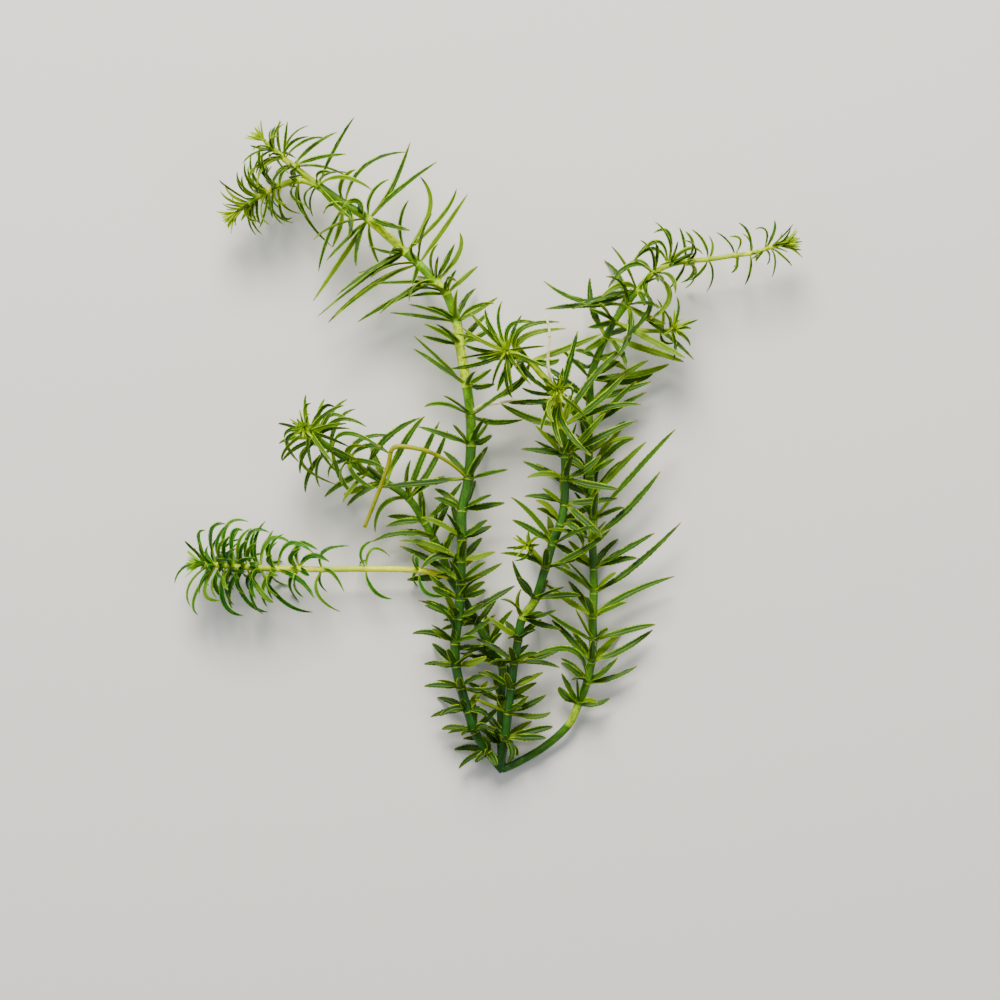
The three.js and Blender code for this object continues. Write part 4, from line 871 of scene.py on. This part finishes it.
def smooth_through(points: Points, at: Points) -> Points:
    """Runs a smooth curve through points.

    Args:
        points: The points that the curve passes.
        at: Places on it, counted in points from the first one.

    Returns:
        One row for each place.
    """
    padded = np.vstack([2 * points[0] - points[1], points, 2 * points[-1] - points[-2]])
    start = np.minimum(np.floor(at).astype(int), len(points) - 2)
    t = (at - start)[:, None]
    p0, p1, p2, p3 = (padded[start + k] for k in range(4))
    return 0.5 * (
        2 * p1 + (p2 - p0) * t + (2 * p0 - 5 * p1 + 4 * p2 - p3) * t**2 + (3 * p1 - p0 - 3 * p2 + p3) * t**3
    )


@dataclass
class StemFrame:
    """A node of a stem with the direction of growth and two directions across it."""

    point: Points
    along: Points
    side: Points
    front: Points


def frames_along(points: Sequence[Points]) -> list[StemFrame]:
    """Finds the direction of growth at each point, with two directions across it.

    Args:
        points: The stem's nodes in millimetres.

    Returns:
        One frame for each node.
    """
    side = None
    made = []
    for i, point in enumerate(points):
        along = unit(points[min(i + 1, len(points) - 1)] - points[max(i - 1, 0)])
        side = np.cross(along, (0, 0, 1)) if side is None else side
        side = unit(side - along * side.dot(along))
        made.append(StemFrame(point, along, side, np.cross(side, along)))
    return made


@dataclass
class Leaf:
    """A leaf's midrib with what its blade needs to know.

    Attributes:
        points: The midrib, from the stem's axis to the tip.
        out: Direction away from the stem.
        along: The stem's direction of growth.
        width: Greatest width of the blade.
        turn: Degrees round the stem.
        count: Number that sets the leaf's own small differences.
        node: The stem's node that it grows from.
        room: How far it clears what stood before it, past what is asked.
    """

    points: Points
    out: Points
    along: Points
    width: float = 0.0
    turn: float = 0.0
    count: int = 0
    node: int = 0
    room: float = math.inf

    def length(self) -> float:
        """Measures the midrib in millimetres."""
        return float(np.linalg.norm(np.diff(self.points, axis=0), axis=1).sum())


def settle(points: list[Points]) -> Points:
    """Keeps a midrib above the table. What would go lower slides along it at the same length.

    Args:
        points: The midrib's points.

    Returns:
        The settled points.
    """
    settled = [points[0]]
    for before, after in zip(points, points[1:]):
        step = after - before
        last = settled[-1]
        if last[2] + step[2] < FLOOR_HEIGHT:
            length = np.linalg.norm(step)
            flat = math.hypot(step[0], step[1]) or 1
            step[2] = max(FLOOR_HEIGHT - last[2], -length)
            step[:2] *= math.sqrt(max(length**2 - step[2] ** 2, 0)) / flat
        settled.append(last + step)
    return np.array(settled)


def whorl_leaf(stem: StemFrame, turn: float, lean: float, tip_lean: float, length: float) -> Leaf:
    """Bends a midrib that leaves the stem at a turn round it and leans out along its length.

    Args:
        stem: The node's frame.
        turn: Degrees round the stem.
        lean: Degrees between the stem and the leaf's base.
        tip_lean: Degrees between the stem and the leaf's tip.
        length: Length in millimetres.

    Returns:
        The leaf.
    """
    angle = math.radians(turn)
    out = stem.side * math.cos(angle) + stem.front * math.sin(angle)
    points = [stem.point]
    for i in range(LEAF_STEPS):
        bend = math.radians(lean + (tip_lean - lean) * (i + 0.5) / LEAF_STEPS)
        step = stem.along * math.cos(bend) + out * math.sin(bend)
        points.append(points[-1] + step * length / LEAF_STEPS)
    return Leaf(settle(points), out, stem.along)


def drawn_leaf(stem: StemFrame, row: DrawnRow, rise: float, share: float) -> Leaf:
    """Bends a midrib from the node through a point halfway to the tip.

    Args:
        stem: The node's frame.
        row: The drawn leaf.
        rise: Height of the tip over the node.
        share: Share of the length that has room.

    Returns:
        The leaf.
    """
    start = stem.point
    middle = place(row[1], row[2], start[2] + rise * BOW_RISE)
    tip = place(row[3], row[4], start[2] + rise)
    bow = 2 * middle - 0.5 * start - 0.5 * tip
    u = [share * i / LEAF_STEPS for i in range(LEAF_STEPS + 1)]
    points = [start * (1 - t) ** 2 + bow * (2 * t * (1 - t)) + tip * t**2 for t in u]
    out = tip - start
    return Leaf(settle(points), unit(out - stem.along * out.dot(stem.along)), stem.along)


@dataclass(frozen=True)
class Variety:
    """How leaves of one kind differ: each lean changes by a least value and up to a span more.

    A leaf's number is worked out from its stem, its node and its place in the whorl, and all its
    small differences follow from it.
    """

    first_number: int
    lean: tuple[float, float]
    tip_lean: tuple[float, float]
    size_span: float = 0.24
    node_stride: int = 6
    stem_stride: int = 97

    def number(self, whorl: "Whorl", k: int) -> int:
        """Numbers the leaf in one place of a whorl."""
        return self.first_number + k + self.node_stride * whorl.node + self.stem_stride * whorl.shoot

    def measures(self, form: WhorlForm, count: int, least_size: float) -> tuple[float, float, float]:
        """Works out a leaf's measures.

        Args:
            form: How its whorl stands.
            count: The leaf's number.
            least_size: The least share of the whorl's length that it has.

        Returns:
            Lean, tip lean and length.
        """
        lean = form.lean + self.lean[0] + self.lean[1] * spread(count, PLASTIC)
        tip_lean = form.tip_lean + self.tip_lean[0] + self.tip_lean[1] * spread(count, PLASTIC_SQUARE)
        return lean, tip_lean, form.length * (least_size + self.size_span * spread(count, GOLDEN))


OUTER = Variety(first_number=1, lean=(-7, 14), tip_lean=(-13, 26))
INNER = Variety(first_number=500, lean=(-22, 36), tip_lean=(-10, 50))


@dataclass
class Whorl:
    """A node of a shoot that leaves grow from.

    Attributes:
        shoot: Number of the shoot.
        node: Number of the node.
        stem: The stem there.
        habit: How the leaves stand.
        places: The places round the stem that no leaf has taken, in degrees.
    """

    shoot: int
    node: int
    stem: StemFrame
    habit: Habit
    places: list[float] = field(init=False)

    def __post_init__(self) -> None:
        """Starts with every place free."""
        self.places = self.turns()

    def turns(self) -> list[float]:
        """Works out where the leaves stand round the stem.

        Returns:
            Degrees round the stem, one for each leaf.
        """
        leaves = self.habit.value.leaves
        first = 180 * (self.node % 2) / leaves
        first += WHORL_TURN * spread(self.node + STEM_STRIDE * self.shoot + 1, GOLDEN)
        return [first + 360 * k / leaves for k in range(leaves)]

    def take_place(self, turn: float) -> None:
        """Takes the free place nearest to a turn, if one is left.

        Args:
            turn: Degrees round the stem.
        """
        if self.places:
            off = [abs(((free - turn) % 360 + 540) % 360 - 180) for free in self.places]
            self.places.pop(off.index(min(off)))

    def own(self, leaf: Leaf, count: int, turn: float, width: float) -> Leaf:
        """Makes a leaf one of the whorl's.

        Args:
            leaf: The leaf.
            count: Its number.
            turn: Degrees round the stem.
            width: Greatest width of its blade.

        Returns:
            The same leaf.
        """
        leaf.node, leaf.count, leaf.turn, leaf.width = self.node, count, turn, width
        return leaf


class Crowd:
    """What stands already: points of stems, roots and midribs, each with the room that it asks."""

    # Columns of the table after a point's place.
    STEM, NODE, IS_LEAF, ASKED = 3, 4, 5, 6

    def __init__(self) -> None:
        """Starts with nothing standing."""
        self.table = np.zeros((0, 7))

    def add(self, points: Points, stem: int, node: int, asked: Sequence[float] | None = None) -> None:
        """Adds points.

        Args:
            points: Places in millimetres.
            stem: Number of the stem that they are on.
            node: Number of the node, or -1 for a stem's own points.
            asked: Room that each point asks, or None for a midrib.
        """
        block = np.zeros((len(points), self.table.shape[1]))
        block[:, :3] = points
        block[:, self.STEM] = stem
        block[:, self.NODE] = node
        block[:, self.IS_LEAF] = asked is None
        block[:, self.ASKED] = 0 if asked is None else asked
        self.table = np.vstack([self.table, block])

    def add_stem(self, points: Points, radius: Sequence[float], stem: int) -> None:
        """Adds the points of a stem or root that leaves have to clear.

        Args:
            points: The stem's nodes.
            radius: Its radius at its base, middle and tip.
            stem: Its number.
        """
        spots, asked = [], []
        count = len(points) - 1
        for i in range(count):
            span = points[i + 1] - points[i]
            steps = math.ceil(np.linalg.norm(span) / STEM_SPOTS)
            for j in range(steps):
                spots.append(points[i] + span * j / steps)
                asked.append(radius_at(radius, (i + j / steps) / count) + STEM_CLEARANCE)
        self.add(np.array(spots), stem, -1, asked)

    def room_for(self, leaf: Leaf, whorl: Whorl) -> float:
        """Says how far a leaf keeps from what stands, past the distance that each thing asks.

        Args:
            leaf: The leaf.
            whorl: Its whorl.

        Returns:
            Infinity where it clears everything, and otherwise the largest shortfall, below 0.
        """
        points = leaf.points
        low, high = points.min(axis=0) - CLEAR_OF_ALL, points.max(axis=0) + CLEAR_OF_ALL
        near = self.table[((self.table[:, :3] > low) & (self.table[:, :3] < high)).all(axis=1)]
        own = near[:, self.STEM] == whorl.shoot
        leaf_asks = np.where(own, OWN_CLEARANCE, LEAF_CLEARANCE)
        asked = np.where(near[:, self.IS_LEAF] > 0, leaf_asks, near[:, self.ASKED])
        gap = np.sqrt(((points[1:, None] - near[None, :, :3]) ** 2).sum(axis=2))
        far = np.arange(1, len(points))[:, None] / LEAF_STEPS * leaf.length()
        skipped = own[None] & ((near[:, self.NODE] == whorl.node)[None] | (far < BASE_LENGTH))
        short = (gap - asked) * np.where(own, OWN_SHARE, 1)
        short = np.where(skipped | (gap >= asked), math.inf, short)
        return float(short.min()) if short.size else math.inf

    def roomiest(self, whorl: Whorl, tries: Iterable[Leaf]) -> Leaf:
        """Picks the first leaf that clears everything, or the one that clears most.

        Args:
            whorl: The leaf's whorl.
            tries: The leaves to choose from.

        Returns:
            The chosen leaf.
        """
        best = None
        for leaf in tries:
            leaf.room = self.room_for(leaf, whorl)
            if best is None or leaf.room > best.room:
                best = leaf
            if leaf.room == math.inf:
                break
        return best


class Foliage:
    """Grows the leaves of all the shoots, where the solids have them and between those."""

    def __init__(self) -> None:
        """Puts up the stems and roots, with their whorls."""
        self.crowd = Crowd()
        self.whorls: list[dict[int, Whorl]] = []
        for number, strand in enumerate([*SHOOTS, *ROOTS]):
            path = strand.path()
            self.crowd.add_stem(path, strand.radius, number)
            stations = enumerate(zip(strand.nodes, frames_along(path)))
            self.whorls.append(
                {node: Whorl(number, node, stem, row[3]) for node, (row, stem) in stations if len(row) > 3}
            )

    def grow(self) -> list[list[Leaf]]:
        """Grows the drawn leaves first, then the others of each whorl in the places left.

        Returns:
            The leaves of each shoot.
        """
        leaves = [
            [self.drawn_leaf(whorls[row[0]], count, row) for count, row in enumerate(shoot.drawn)]
            for shoot, whorls in zip(SHOOTS, self.whorls)
        ]
        for grown, whorls in zip(leaves, self.whorls):
            for whorl in whorls.values():
                grown += self.other_leaves(whorl) + self.inner_leaves(whorl)
        return leaves

    def drawn_leaf(self, whorl: Whorl, count: int, row: DrawnRow) -> Leaf:
        """Grows a drawn leaf, which takes the nearest place of its whorl.

        Args:
            whorl: The whorl.
            count: Number of the leaf.
            row: The drawn leaf.

        Returns:
            The leaf.
        """
        stem = whorl.stem
        tries = (drawn_leaf(stem, row, row[5] + lift, share) for lift, share in DRAWN_TRIES)
        best = self.crowd.roomiest(whorl, tries)
        turn = math.degrees(math.atan2(best.out.dot(stem.front), best.out.dot(stem.side)))
        whorl.take_place(turn)
        self.crowd.add(best.points[1:], whorl.shoot, whorl.node)
        return whorl.own(best, count, turn, whorl.habit.value.width)

    def other_leaves(self, whorl: Whorl) -> list[Leaf]:
        """Grows a whorl's leaves in the places that the drawn ones leave.

        Args:
            whorl: The whorl.

        Returns:
            The leaves.
        """
        form = whorl.habit.value
        grown = []
        for k, turn in enumerate(whorl.places):
            count = OUTER.number(whorl, k)
            lean, tip_lean, length = OUTER.measures(form, count, LEAST_SIZE)
            tries = (
                whorl_leaf(whorl.stem, turn + by, lean + over, tip_lean + over, length * share)
                for by, over, share in WHORL_TRIES
            )
            best = self.crowd.roomiest(whorl, tries)
            # The solids have no crowded leaves, so these move no other leaf.
            if best.room >= -LEAST_CROWDING:
                self.crowd.add(best.points[1:], whorl.shoot, whorl.node)
            grown.append(whorl.own(best, count, turn, form.width))
        return grown

    def inner_leaves(self, whorl: Whorl) -> list[Leaf]:
        """Grows narrower leaves between the others of a full whorl.

        Args:
            whorl: The whorl.

        Returns:
            The leaves, or none where the whorl isn't a full one.
        """
        form = whorl.habit.value
        leaves, least = INNER_LEAVES.get(whorl.habit, (0, LEAST_SIZE))
        grown = []
        for k, turn in enumerate(whorl.turns()[:leaves]):
            count = INNER.number(whorl, k)
            leaf = whorl_leaf(whorl.stem, turn + 180 / form.leaves, *INNER.measures(form, count, least))
            grown.append(whorl.own(leaf, count, turn, INNER_WIDTH * form.width))
        return grown


@dataclass
class MeshParts:
    """Vertices, faces and vertex values that are joined to one mesh."""

    points: list[Points] = field(default_factory=list)
    faces: list[tuple[int, ...]] = field(default_factory=list)
    values: list[Points] = field(default_factory=list)
    flat: list[Points] = field(default_factory=list)
    count: int = 0

    def add(self, points: Points, faces: list[tuple[int, ...]], values: Points, flat: Points) -> None:
        """Adds a closed shape.

        Args:
            points: Its vertices in millimetres.
            faces: Its faces, counted from its first vertex.
            values: Four numbers for each vertex.
            flat: Place of each vertex on the blade laid flat, in millimetres.
        """
        self.points.append(points)
        self.faces.extend(tuple(v + self.count for v in face) for face in faces)
        self.values.append(values)
        self.flat.append(flat)
        self.count += len(points)


# The blade's section from margin to margin and back under it: share of the half width, share of
# the fold's height and height over the midrib in millimetres.
SECTION = [
    (-1.0, 1.0, 0.0), (-0.5, 0.42, 0.07), (0.0, 0.0, 0.03), (0.5, 0.42, 0.07),
    (1.0, 1.0, 0.0), (0.5, 0.42, -0.07), (0.0, 0.0, -0.2), (-0.5, 0.42, -0.07),
]
# The blade's outline: share of the length and share of the width.
OUTLINE = (
    (0, 0.05, 0.15, 0.35, 0.6, 0.8, 0.91, 0.97, 1.0), (0.6, 0.72, 0.9, 1.0, 0.92, 0.7, 0.45, 0.24, 0.0),
)


@dataclass(frozen=True)
class BladeMaker:
    """Turns midribs to toothed blades that are folded a little along the midrib."""

    tooth_pitch: float = 1.0
    tooth_height: float = 0.16
    tooth_lean: float = 0.25
    fewest_teeth: int = 3
    most_teeth: int = 20
    fold: float = 0.3
    slimming: float = 0.22
    tip_thickness: float = 0.3
    least_twist: float = 0.75
    twist_span: float = 0.5
    tone_stride: int = 3

    def blade(self, leaf: Leaf, youth_and_highlight: float, parts: MeshParts) -> None:
        """Adds one blade.

        Args:
            leaf: The leaf.
            youth_and_highlight: How young it looks, from 0 to BUD_YOUTH, partly painted highlight towards
                the tips.
            parts: The mesh that takes it.
        """
        length = leaf.length()
        teeth = round(length / self.tooth_pitch)
        stations = 2 * min(max(teeth, self.fewest_teeth), self.most_teeth)
        at = np.linspace(0, LEAF_STEPS, stations + 1)
        middle = smooth_through(leaf.points, at)
        ahead = np.gradient(middle, axis=0)
        ahead /= np.linalg.norm(ahead, axis=1)[:, None]
        across = unit(np.cross(leaf.along, leaf.out))
        twist = self.least_twist + self.twist_span * spread(leaf.count + 1, PLASTIC)
        twist *= math.cos(math.radians(leaf.turn))
        tone = spread(leaf.count * self.tone_stride + leaf.node, GOLDEN)
        width = leaf.width * (1 - self.slimming * min(youth_and_highlight, 1.0))
        half = 0.5 * width * np.interp(at / LEAF_STEPS, *OUTLINE)
        points, values, flat = [], [], []
        for k in range(stations):
            heading = ahead[k]
            across = unit(across - heading * across.dot(heading))
            angle = twist * min(at[k] / TWISTED_BY, 1)
            level = across * math.cos(angle) + np.cross(heading, across) * math.sin(angle)
            face = np.cross(heading, level)
            tooth = self.tooth_height * (k % 2) * min(1.0, half[k])
            for x, rise, thick in SECTION:
                reach = half[k] + tooth if abs(x) == 1 else half[k]
                point = middle[k] + level * (x * reach) + face * (rise * self.fold * 2 * half[k])
                point = point + face * (thick * min(1.0, self.tip_thickness + half[k]))
                if abs(x) == 1 and k % 2:
                    point = point + heading * self.tooth_lean * length / stations
                points.append(point)
                values.append((at[k] / LEAF_STEPS, abs(x), youth_and_highlight, tone))
                flat.append((at[k] / LEAF_STEPS * length, x * half[k]))
        points.append(middle[-1])
        values.append((1.0, 0.0, youth_and_highlight, tone))
        flat.append((length, 0.0))
        made = np.array(points)
        made[:, 2] = np.maximum(made[:, 2], 0.0)
        parts.add(made, self.faces(stations), np.array(values), np.array(flat))

    def faces(self, stations: int) -> list[tuple[int, ...]]:
        """Closes a blade of so many sections and a tip with faces.

        Args:
            stations: Number of sections.

        Returns:
            The faces, counted from the blade's first vertex.
        """
        ring = len(SECTION)
        made = [tuple(range(ring))[::-1]]
        for k in range(stations - 1):
            for j in range(ring):
                a, b = k * ring + j, k * ring + (j + 1) % ring
                made.append((a, b, b + ring, a + ring))
        last = (stations - 1) * ring
        made += [(last + j, last + (j + 1) % ring, stations * ring) for j in range(ring)]
        return made


def corner_vertices(mesh: bpy.types.Mesh) -> Points:
    """Looks up which vertex stands at each corner of each face.

    Args:
        mesh: The mesh.

    Returns:
        The vertices' numbers.
    """
    corner = np.zeros(len(mesh.loops), dtype=np.int32)
    mesh.loops.foreach_get("vertex_index", corner)
    return corner


def write_values(mesh: bpy.types.Mesh, name: str, values: Points, flat: Points) -> None:
    """Gives a mesh what its skin reads, and smooths its faces.

    Args:
        mesh: The mesh.
        name: Name of the vertex values; the flat map's name adds _map to it.
        values: Four numbers for each vertex.
        flat: Place on the flat map for each corner of each face.
    """
    layer = mesh.color_attributes.new(name, "FLOAT_COLOR", "POINT")
    layer.data.foreach_set("color", values.astype(np.float32).ravel())
    mesh.uv_layers.new(name=name + "_map").data.foreach_set("uv", flat.ravel())
    mesh.polygons.foreach_set("use_smooth", [True] * len(mesh.polygons))


def blades_object(name: str, parts: MeshParts) -> bpy.types.Object:
    """Makes one object of a shoot's blades.

    Args:
        name: The object's name.
        parts: The blades.

    Returns:
        The object, at the origin, with the attribute blade and the map blade_map.
    """
    mesh = bpy.data.meshes.new(name)
    mesh.from_pydata(np.vstack(parts.points) * MM, [], parts.faces)
    write_values(mesh, "blade", np.vstack(parts.values), np.vstack(parts.flat)[corner_vertices(mesh)])
    made = bpy.data.objects.new(name, mesh)
    bpy.context.collection.objects.link(made)
    return made


@dataclass
class TubeMaker:
    """Bends a round stem or root along its nodes, a little thicker where whorls join it."""

    strand: Strand
    swelling: float = 0.14
    ring_width: float = 0.22
    ring_steps: tuple[float, ...] = (-0.5, -0.25, 0.0, 0.25, 0.5)
    step: float = 0.7
    least_step: float = 0.08
    merge_distance: float = 0.01
    tone_start: int = 25
    bevel_resolution: int = 4

    def tube(self, name: str) -> bpy.types.Object:
        """Bends the tube and marks what its skin reads.

        Args:
            name: The object's name.

        Returns:
            The object, with the attribute stem and the map stem_map.
        """
        strand = self.strand
        path = strand.path()
        spans = np.linalg.norm(np.diff(path, axis=0), axis=1)
        far = np.concatenate([[0], np.cumsum(spans)])
        rings = [far[n] for n, row in enumerate(strand.nodes) if len(row) > 3]
        if strand.spot is not None:
            rings = [strand.spot * far[-1]]
        places = set(np.arange(0, far[-1], self.step)) | {float(far[-1])}
        places |= {r + d for r in rings for d in self.ring_steps if 0 < r + d < far[-1]}
        away = np.array(sorted(places))
        away = away[np.concatenate([[True], np.diff(away) > self.least_step])]
        count = np.interp(away, far, np.arange(len(path)))
        share = count / (len(path) - 1)
        middle = smooth_through(path, count)
        near = np.array([min((abs(a - r) for r in rings), default=math.inf) for a in away])
        ring = np.exp(-((near / self.ring_width) ** 2))
        thick = radius_at(strand.radius, share)
        if strand.spot is None:
            thick = thick * (1 + self.swelling * ring)
        tone = spread(np.searchsorted(rings, away) + self.tone_start * len(path), GOLDEN)
        youth_and_highlight = youth_at(strand.youth_and_highlight, share)
        # The listed pale stretches are painted highlight where light fell on the stem.
        for number, young in strand.pale:
            stretch = np.floor(count) == number
            tone[stretch] = 1.0
            youth_and_highlight[stretch] = young
        drawn = self.draw(name, middle, thick)
        self.mark(drawn.data, middle, away, np.column_stack([youth_and_highlight, ring, share, tone]))
        return drawn

    def draw(self, name: str, middle: Points, thick: Points) -> bpy.types.Object:
        """Draws a curve with a round bevel and turns it to a closed mesh.

        Args:
            name: The object's name.
            middle: Points of the axis in millimetres.
            thick: Radius at each point.

        Returns:
            The tube.
        """
        bpy.ops.object.select_all(action="DESELECT")
        bpy.ops.curve.primitive_nurbs_path_add()
        drawn = bpy.context.object
        drawn.name = name
        line = drawn.data
        line.splines.clear()
        spline = line.splines.new("POLY")
        spline.points.add(len(middle) - 1)
        spline.points.foreach_set("co", np.column_stack([middle * MM, np.ones(len(middle))]).ravel())
        spline.points.foreach_set("radius", thick)
        line.dimensions = "3D"
        line.bevel_depth = MM
        line.bevel_resolution = self.bevel_resolution
        line.use_fill_caps = True
        bpy.ops.object.convert(target="MESH")
        bpy.ops.object.mode_set(mode="EDIT")
        bpy.ops.mesh.select_all(action="SELECT")
        bpy.ops.mesh.remove_doubles(threshold=self.merge_distance * MM)
        bpy.ops.mesh.normals_make_consistent(inside=False)
        bpy.ops.object.mode_set(mode="OBJECT")
        return drawn

    def mark(self, mesh: bpy.types.Mesh, middle: Points, away: Points, shares: Points) -> None:
        """Writes what the skin reads to the tube, with a map along and round it.

        Args:
            mesh: The tube's mesh.
            middle: Its axis in millimetres.
            away: Length along the axis at each point.
            shares: Youth, ring share, share of the nodes and tone at each point.
        """
        spots = np.zeros(3 * len(mesh.vertices), dtype=np.float32)
        mesh.vertices.foreach_get("co", spots)
        spots = spots.reshape(-1, 3) / MM
        nearest = ((spots[:, None] - middle[None]) ** 2).sum(axis=2).argmin(axis=1)
        out = spots - middle[nearest]
        heading = np.gradient(middle, axis=0)[nearest]
        side = np.cross(heading, (0.0, 0.0, 1.0))
        side /= np.linalg.norm(side, axis=1)[:, None]
        up = np.cross(side, heading)
        up /= np.linalg.norm(up, axis=1)[:, None]
        around = np.arctan2((out * up).sum(axis=1), (out * side).sum(axis=1)) / (2 * math.pi)
        flat = np.column_stack([away[nearest], around])[corner_vertices(mesh)]
        # A face that crosses the seam of the map takes its corners from one side of it.
        for face in mesh.polygons:
            loops = list(face.loop_indices)
            turned = flat[loops, 1]
            if turned.max() - turned.min() > 0.5:
                flat[loops, 1] = np.where(turned < 0, turned + 1, turned)
        while mesh.uv_layers:
            mesh.uv_layers.remove(mesh.uv_layers[0])
        write_values(mesh, "stem", shares[nearest], flat)


def hand_over(made: bpy.types.Object, strand: Strand) -> None:
    """Lets a piece stand for a solid on the plant's one body: names its mesh after it and hides the solid.

    Args:
        made: The piece.
        strand: The shoot or root that it is.
    """
    made.data.name = made.name
    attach(made, "root")
    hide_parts(strand.name)
    LOG.info("%s: %d faces", made.name, len(made.data.polygons))


@dataclass
class ShootMaker:
    """Builds a shoot's stem and leaves and dresses them.

    A bud's leaves go round the tip by one turn after another. Their leans, lengths and widths grow
    from the innermost leaf's by what the outermost has more.
    """

    shoot: Shoot
    leaves: list[Leaf]
    leaf_skin: bpy.types.Material
    stem_skin: bpy.types.Material
    blades: BladeMaker = BladeMaker()
    bud_turn: float = 137.5
    bud_lean: tuple[float, float] = (4, 30)
    bud_tip_lean: tuple[float, float] = (6, 54)
    bud_length: tuple[float, float] = (3, 3.4)
    bud_width: tuple[float, float] = (0.45, 0.35)

    def build(self) -> None:
        """Builds the shoot as one piece that stands for its solid."""
        shoot = self.shoot
        stem = TubeMaker(shoot).tube(shoot.name + "_stem")
        stem.data.materials.clear()
        stem.data.materials.append(self.stem_skin)
        parts = MeshParts()
        last = len(shoot.nodes) - 1
        for leaf in self.leaves:
            leaf.width *= shoot.breadth
            self.blades.blade(leaf, float(youth_at(shoot.youth_and_highlight, leaf.node / last)), parts)
        for leaf in self.bud_leaves():
            self.blades.blade(leaf, BUD_YOUTH, parts)
        made = blades_object(shoot.name + "_shoot", parts)
        made.data.materials.append(self.leaf_skin)
        bpy.ops.object.select_all(action="DESELECT")
        stem.select_set(True)
        made.select_set(True)
        bpy.context.view_layer.objects.active = made
        bpy.ops.object.join()
        hand_over(made, shoot)

    def bud_leaves(self) -> list[Leaf]:
        """Folds small leaves round the growing tip.

        Returns:
            The leaves, or none where the stem doesn't end in a bud.
        """
        shoot = self.shoot
        tip = frames_along(shoot.path())[-1]
        folded = []
        for k in range(shoot.bud):
            share = (k + 0.5) / shoot.bud
            sizes = (self.bud_lean, self.bud_tip_lean, self.bud_length, self.bud_width)
            lean, tip_lean, length, width = (first + more * share for first, more in sizes)
            leaf = whorl_leaf(tip, self.bud_turn * k, lean, tip_lean, length)
            leaf.turn, leaf.width = self.bud_turn * k, width
            leaf.count, leaf.node = k, len(shoot.nodes) - 1
            folded.append(leaf)
        return folded


@dataclass
class RootMaker:
    """Builds a root and dresses it."""

    root: Strand
    skin: bpy.types.Material

    def build(self) -> None:
        """Builds the root as one piece that stands for its solid."""
        made = TubeMaker(self.root, bevel_resolution=3).tube(self.root.name + "_tube")
        made.data.materials.clear()
        made.data.materials.append(self.skin)
        hand_over(made, self.root)


@dataclass(frozen=True)
class SoftLight:
    """A soft square light that hangs over the table and faces the plant, in metres and watts."""

    name: str
    hangs_at: tuple[float, float, float]
    side: float
    power: float
    colour: str

    def add(self) -> None:
        """Adds the light."""
        bpy.ops.object.light_add(type="AREA", location=self.hangs_at)
        light = bpy.context.object
        light.name = self.name
        light.data.size = self.side
        light.data.energy = self.power
        light.data.color = linear(self.colour)[:3]
        x, y, z = self.hangs_at
        light.rotation_euler = (math.atan2(math.hypot(x, y), z), 0, math.atan2(y, x) + math.pi / 2)


@dataclass
class Studio:
    """The pale table, the soft lights and the camera that looks straight down."""

    camera_height: float = 1.2
    focus_height: float = 0.01
    nearest_seen: float = 0.05
    sensor: float = 36.0
    table_size: float = 3.0
    room_light: float = 0.3
    lights: tuple[SoftLight, ...] = (
        SoftLight("light_from_tips", (-0.1, 0.75, 0.75), 0.5, 22.0, "#FFF9EE"),
        SoftLight("fill_from_left", (-0.8, -0.1, 0.7), 0.8, 2.5, "#F4F8FF"),
        SoftLight("fill_from_right", (0.8, -0.2, 0.7), 0.8, 2.5, "#F4F8FF"),
    )

    def add_camera(self) -> None:
        """Puts the camera over the point that is in the middle of the picture."""
        x, y, _ = place(VIEW_X, VIEW_Y, 0) * MM
        bpy.ops.object.camera_add(location=(x, y, self.camera_height), rotation=(0, 0, 0))
        camera = bpy.context.object
        camera.name = "camera_over_table"
        camera.data.sensor_width = self.sensor
        seen = VIEW_WIDTH * GRID_STEP * MM
        camera.data.lens = self.sensor * (self.camera_height - self.focus_height) / seen
        camera.data.clip_start = self.nearest_seen
        bpy.context.scene.camera = camera

    def add_table(self) -> None:
        """Adds the table that the plant lies on."""
        bpy.ops.object.select_all(action="DESELECT")
        bpy.ops.mesh.primitive_plane_add(size=self.table_size, location=(0, 0, 0))
        table = bpy.context.object
        table.name = "pale_table"
        table.data.materials.append(TABLE_FINISH.material())

    def light_up(self) -> None:
        """Adds the lights, one from the plant's tips and two fills, and the room's own soft light."""
        for light in self.lights:
            light.add()
        world = bpy.data.worlds.new("soft_room")
        world.use_nodes = True
        background = world.node_tree.nodes["Background"]
        background.inputs["Color"].default_value = linear("#F2F4F7")
        background.inputs["Strength"].default_value = self.room_light
        bpy.context.scene.world = world


def main() -> None:
    """Builds the camera, the plant and the studio."""
    logging.basicConfig(level=logging.INFO, format="%(name)s %(message)s", stream=sys.stdout)
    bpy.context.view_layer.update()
    studio = Studio()
    studio.add_camera()
    leaf_skins = {skin: finish.material() for skin, finish in LEAF_FINISHES.items()}
    stem_skins = {skin: finish.material() for skin, finish in STEM_FINISHES.items()}
    root_skins = {skin: finish.material() for skin, finish in ROOT_FINISHES.items()}
    for shoot, leaves in zip(SHOOTS, Foliage().grow()):
        ShootMaker(shoot, leaves, leaf_skins[shoot.skin], stem_skins[shoot.skin]).build()
    for root in ROOTS:
        RootMaker(root, root_skins[root.skin]).build()
    studio.add_table()
    studio.light_up()


if __name__ == "__main__":
    main()
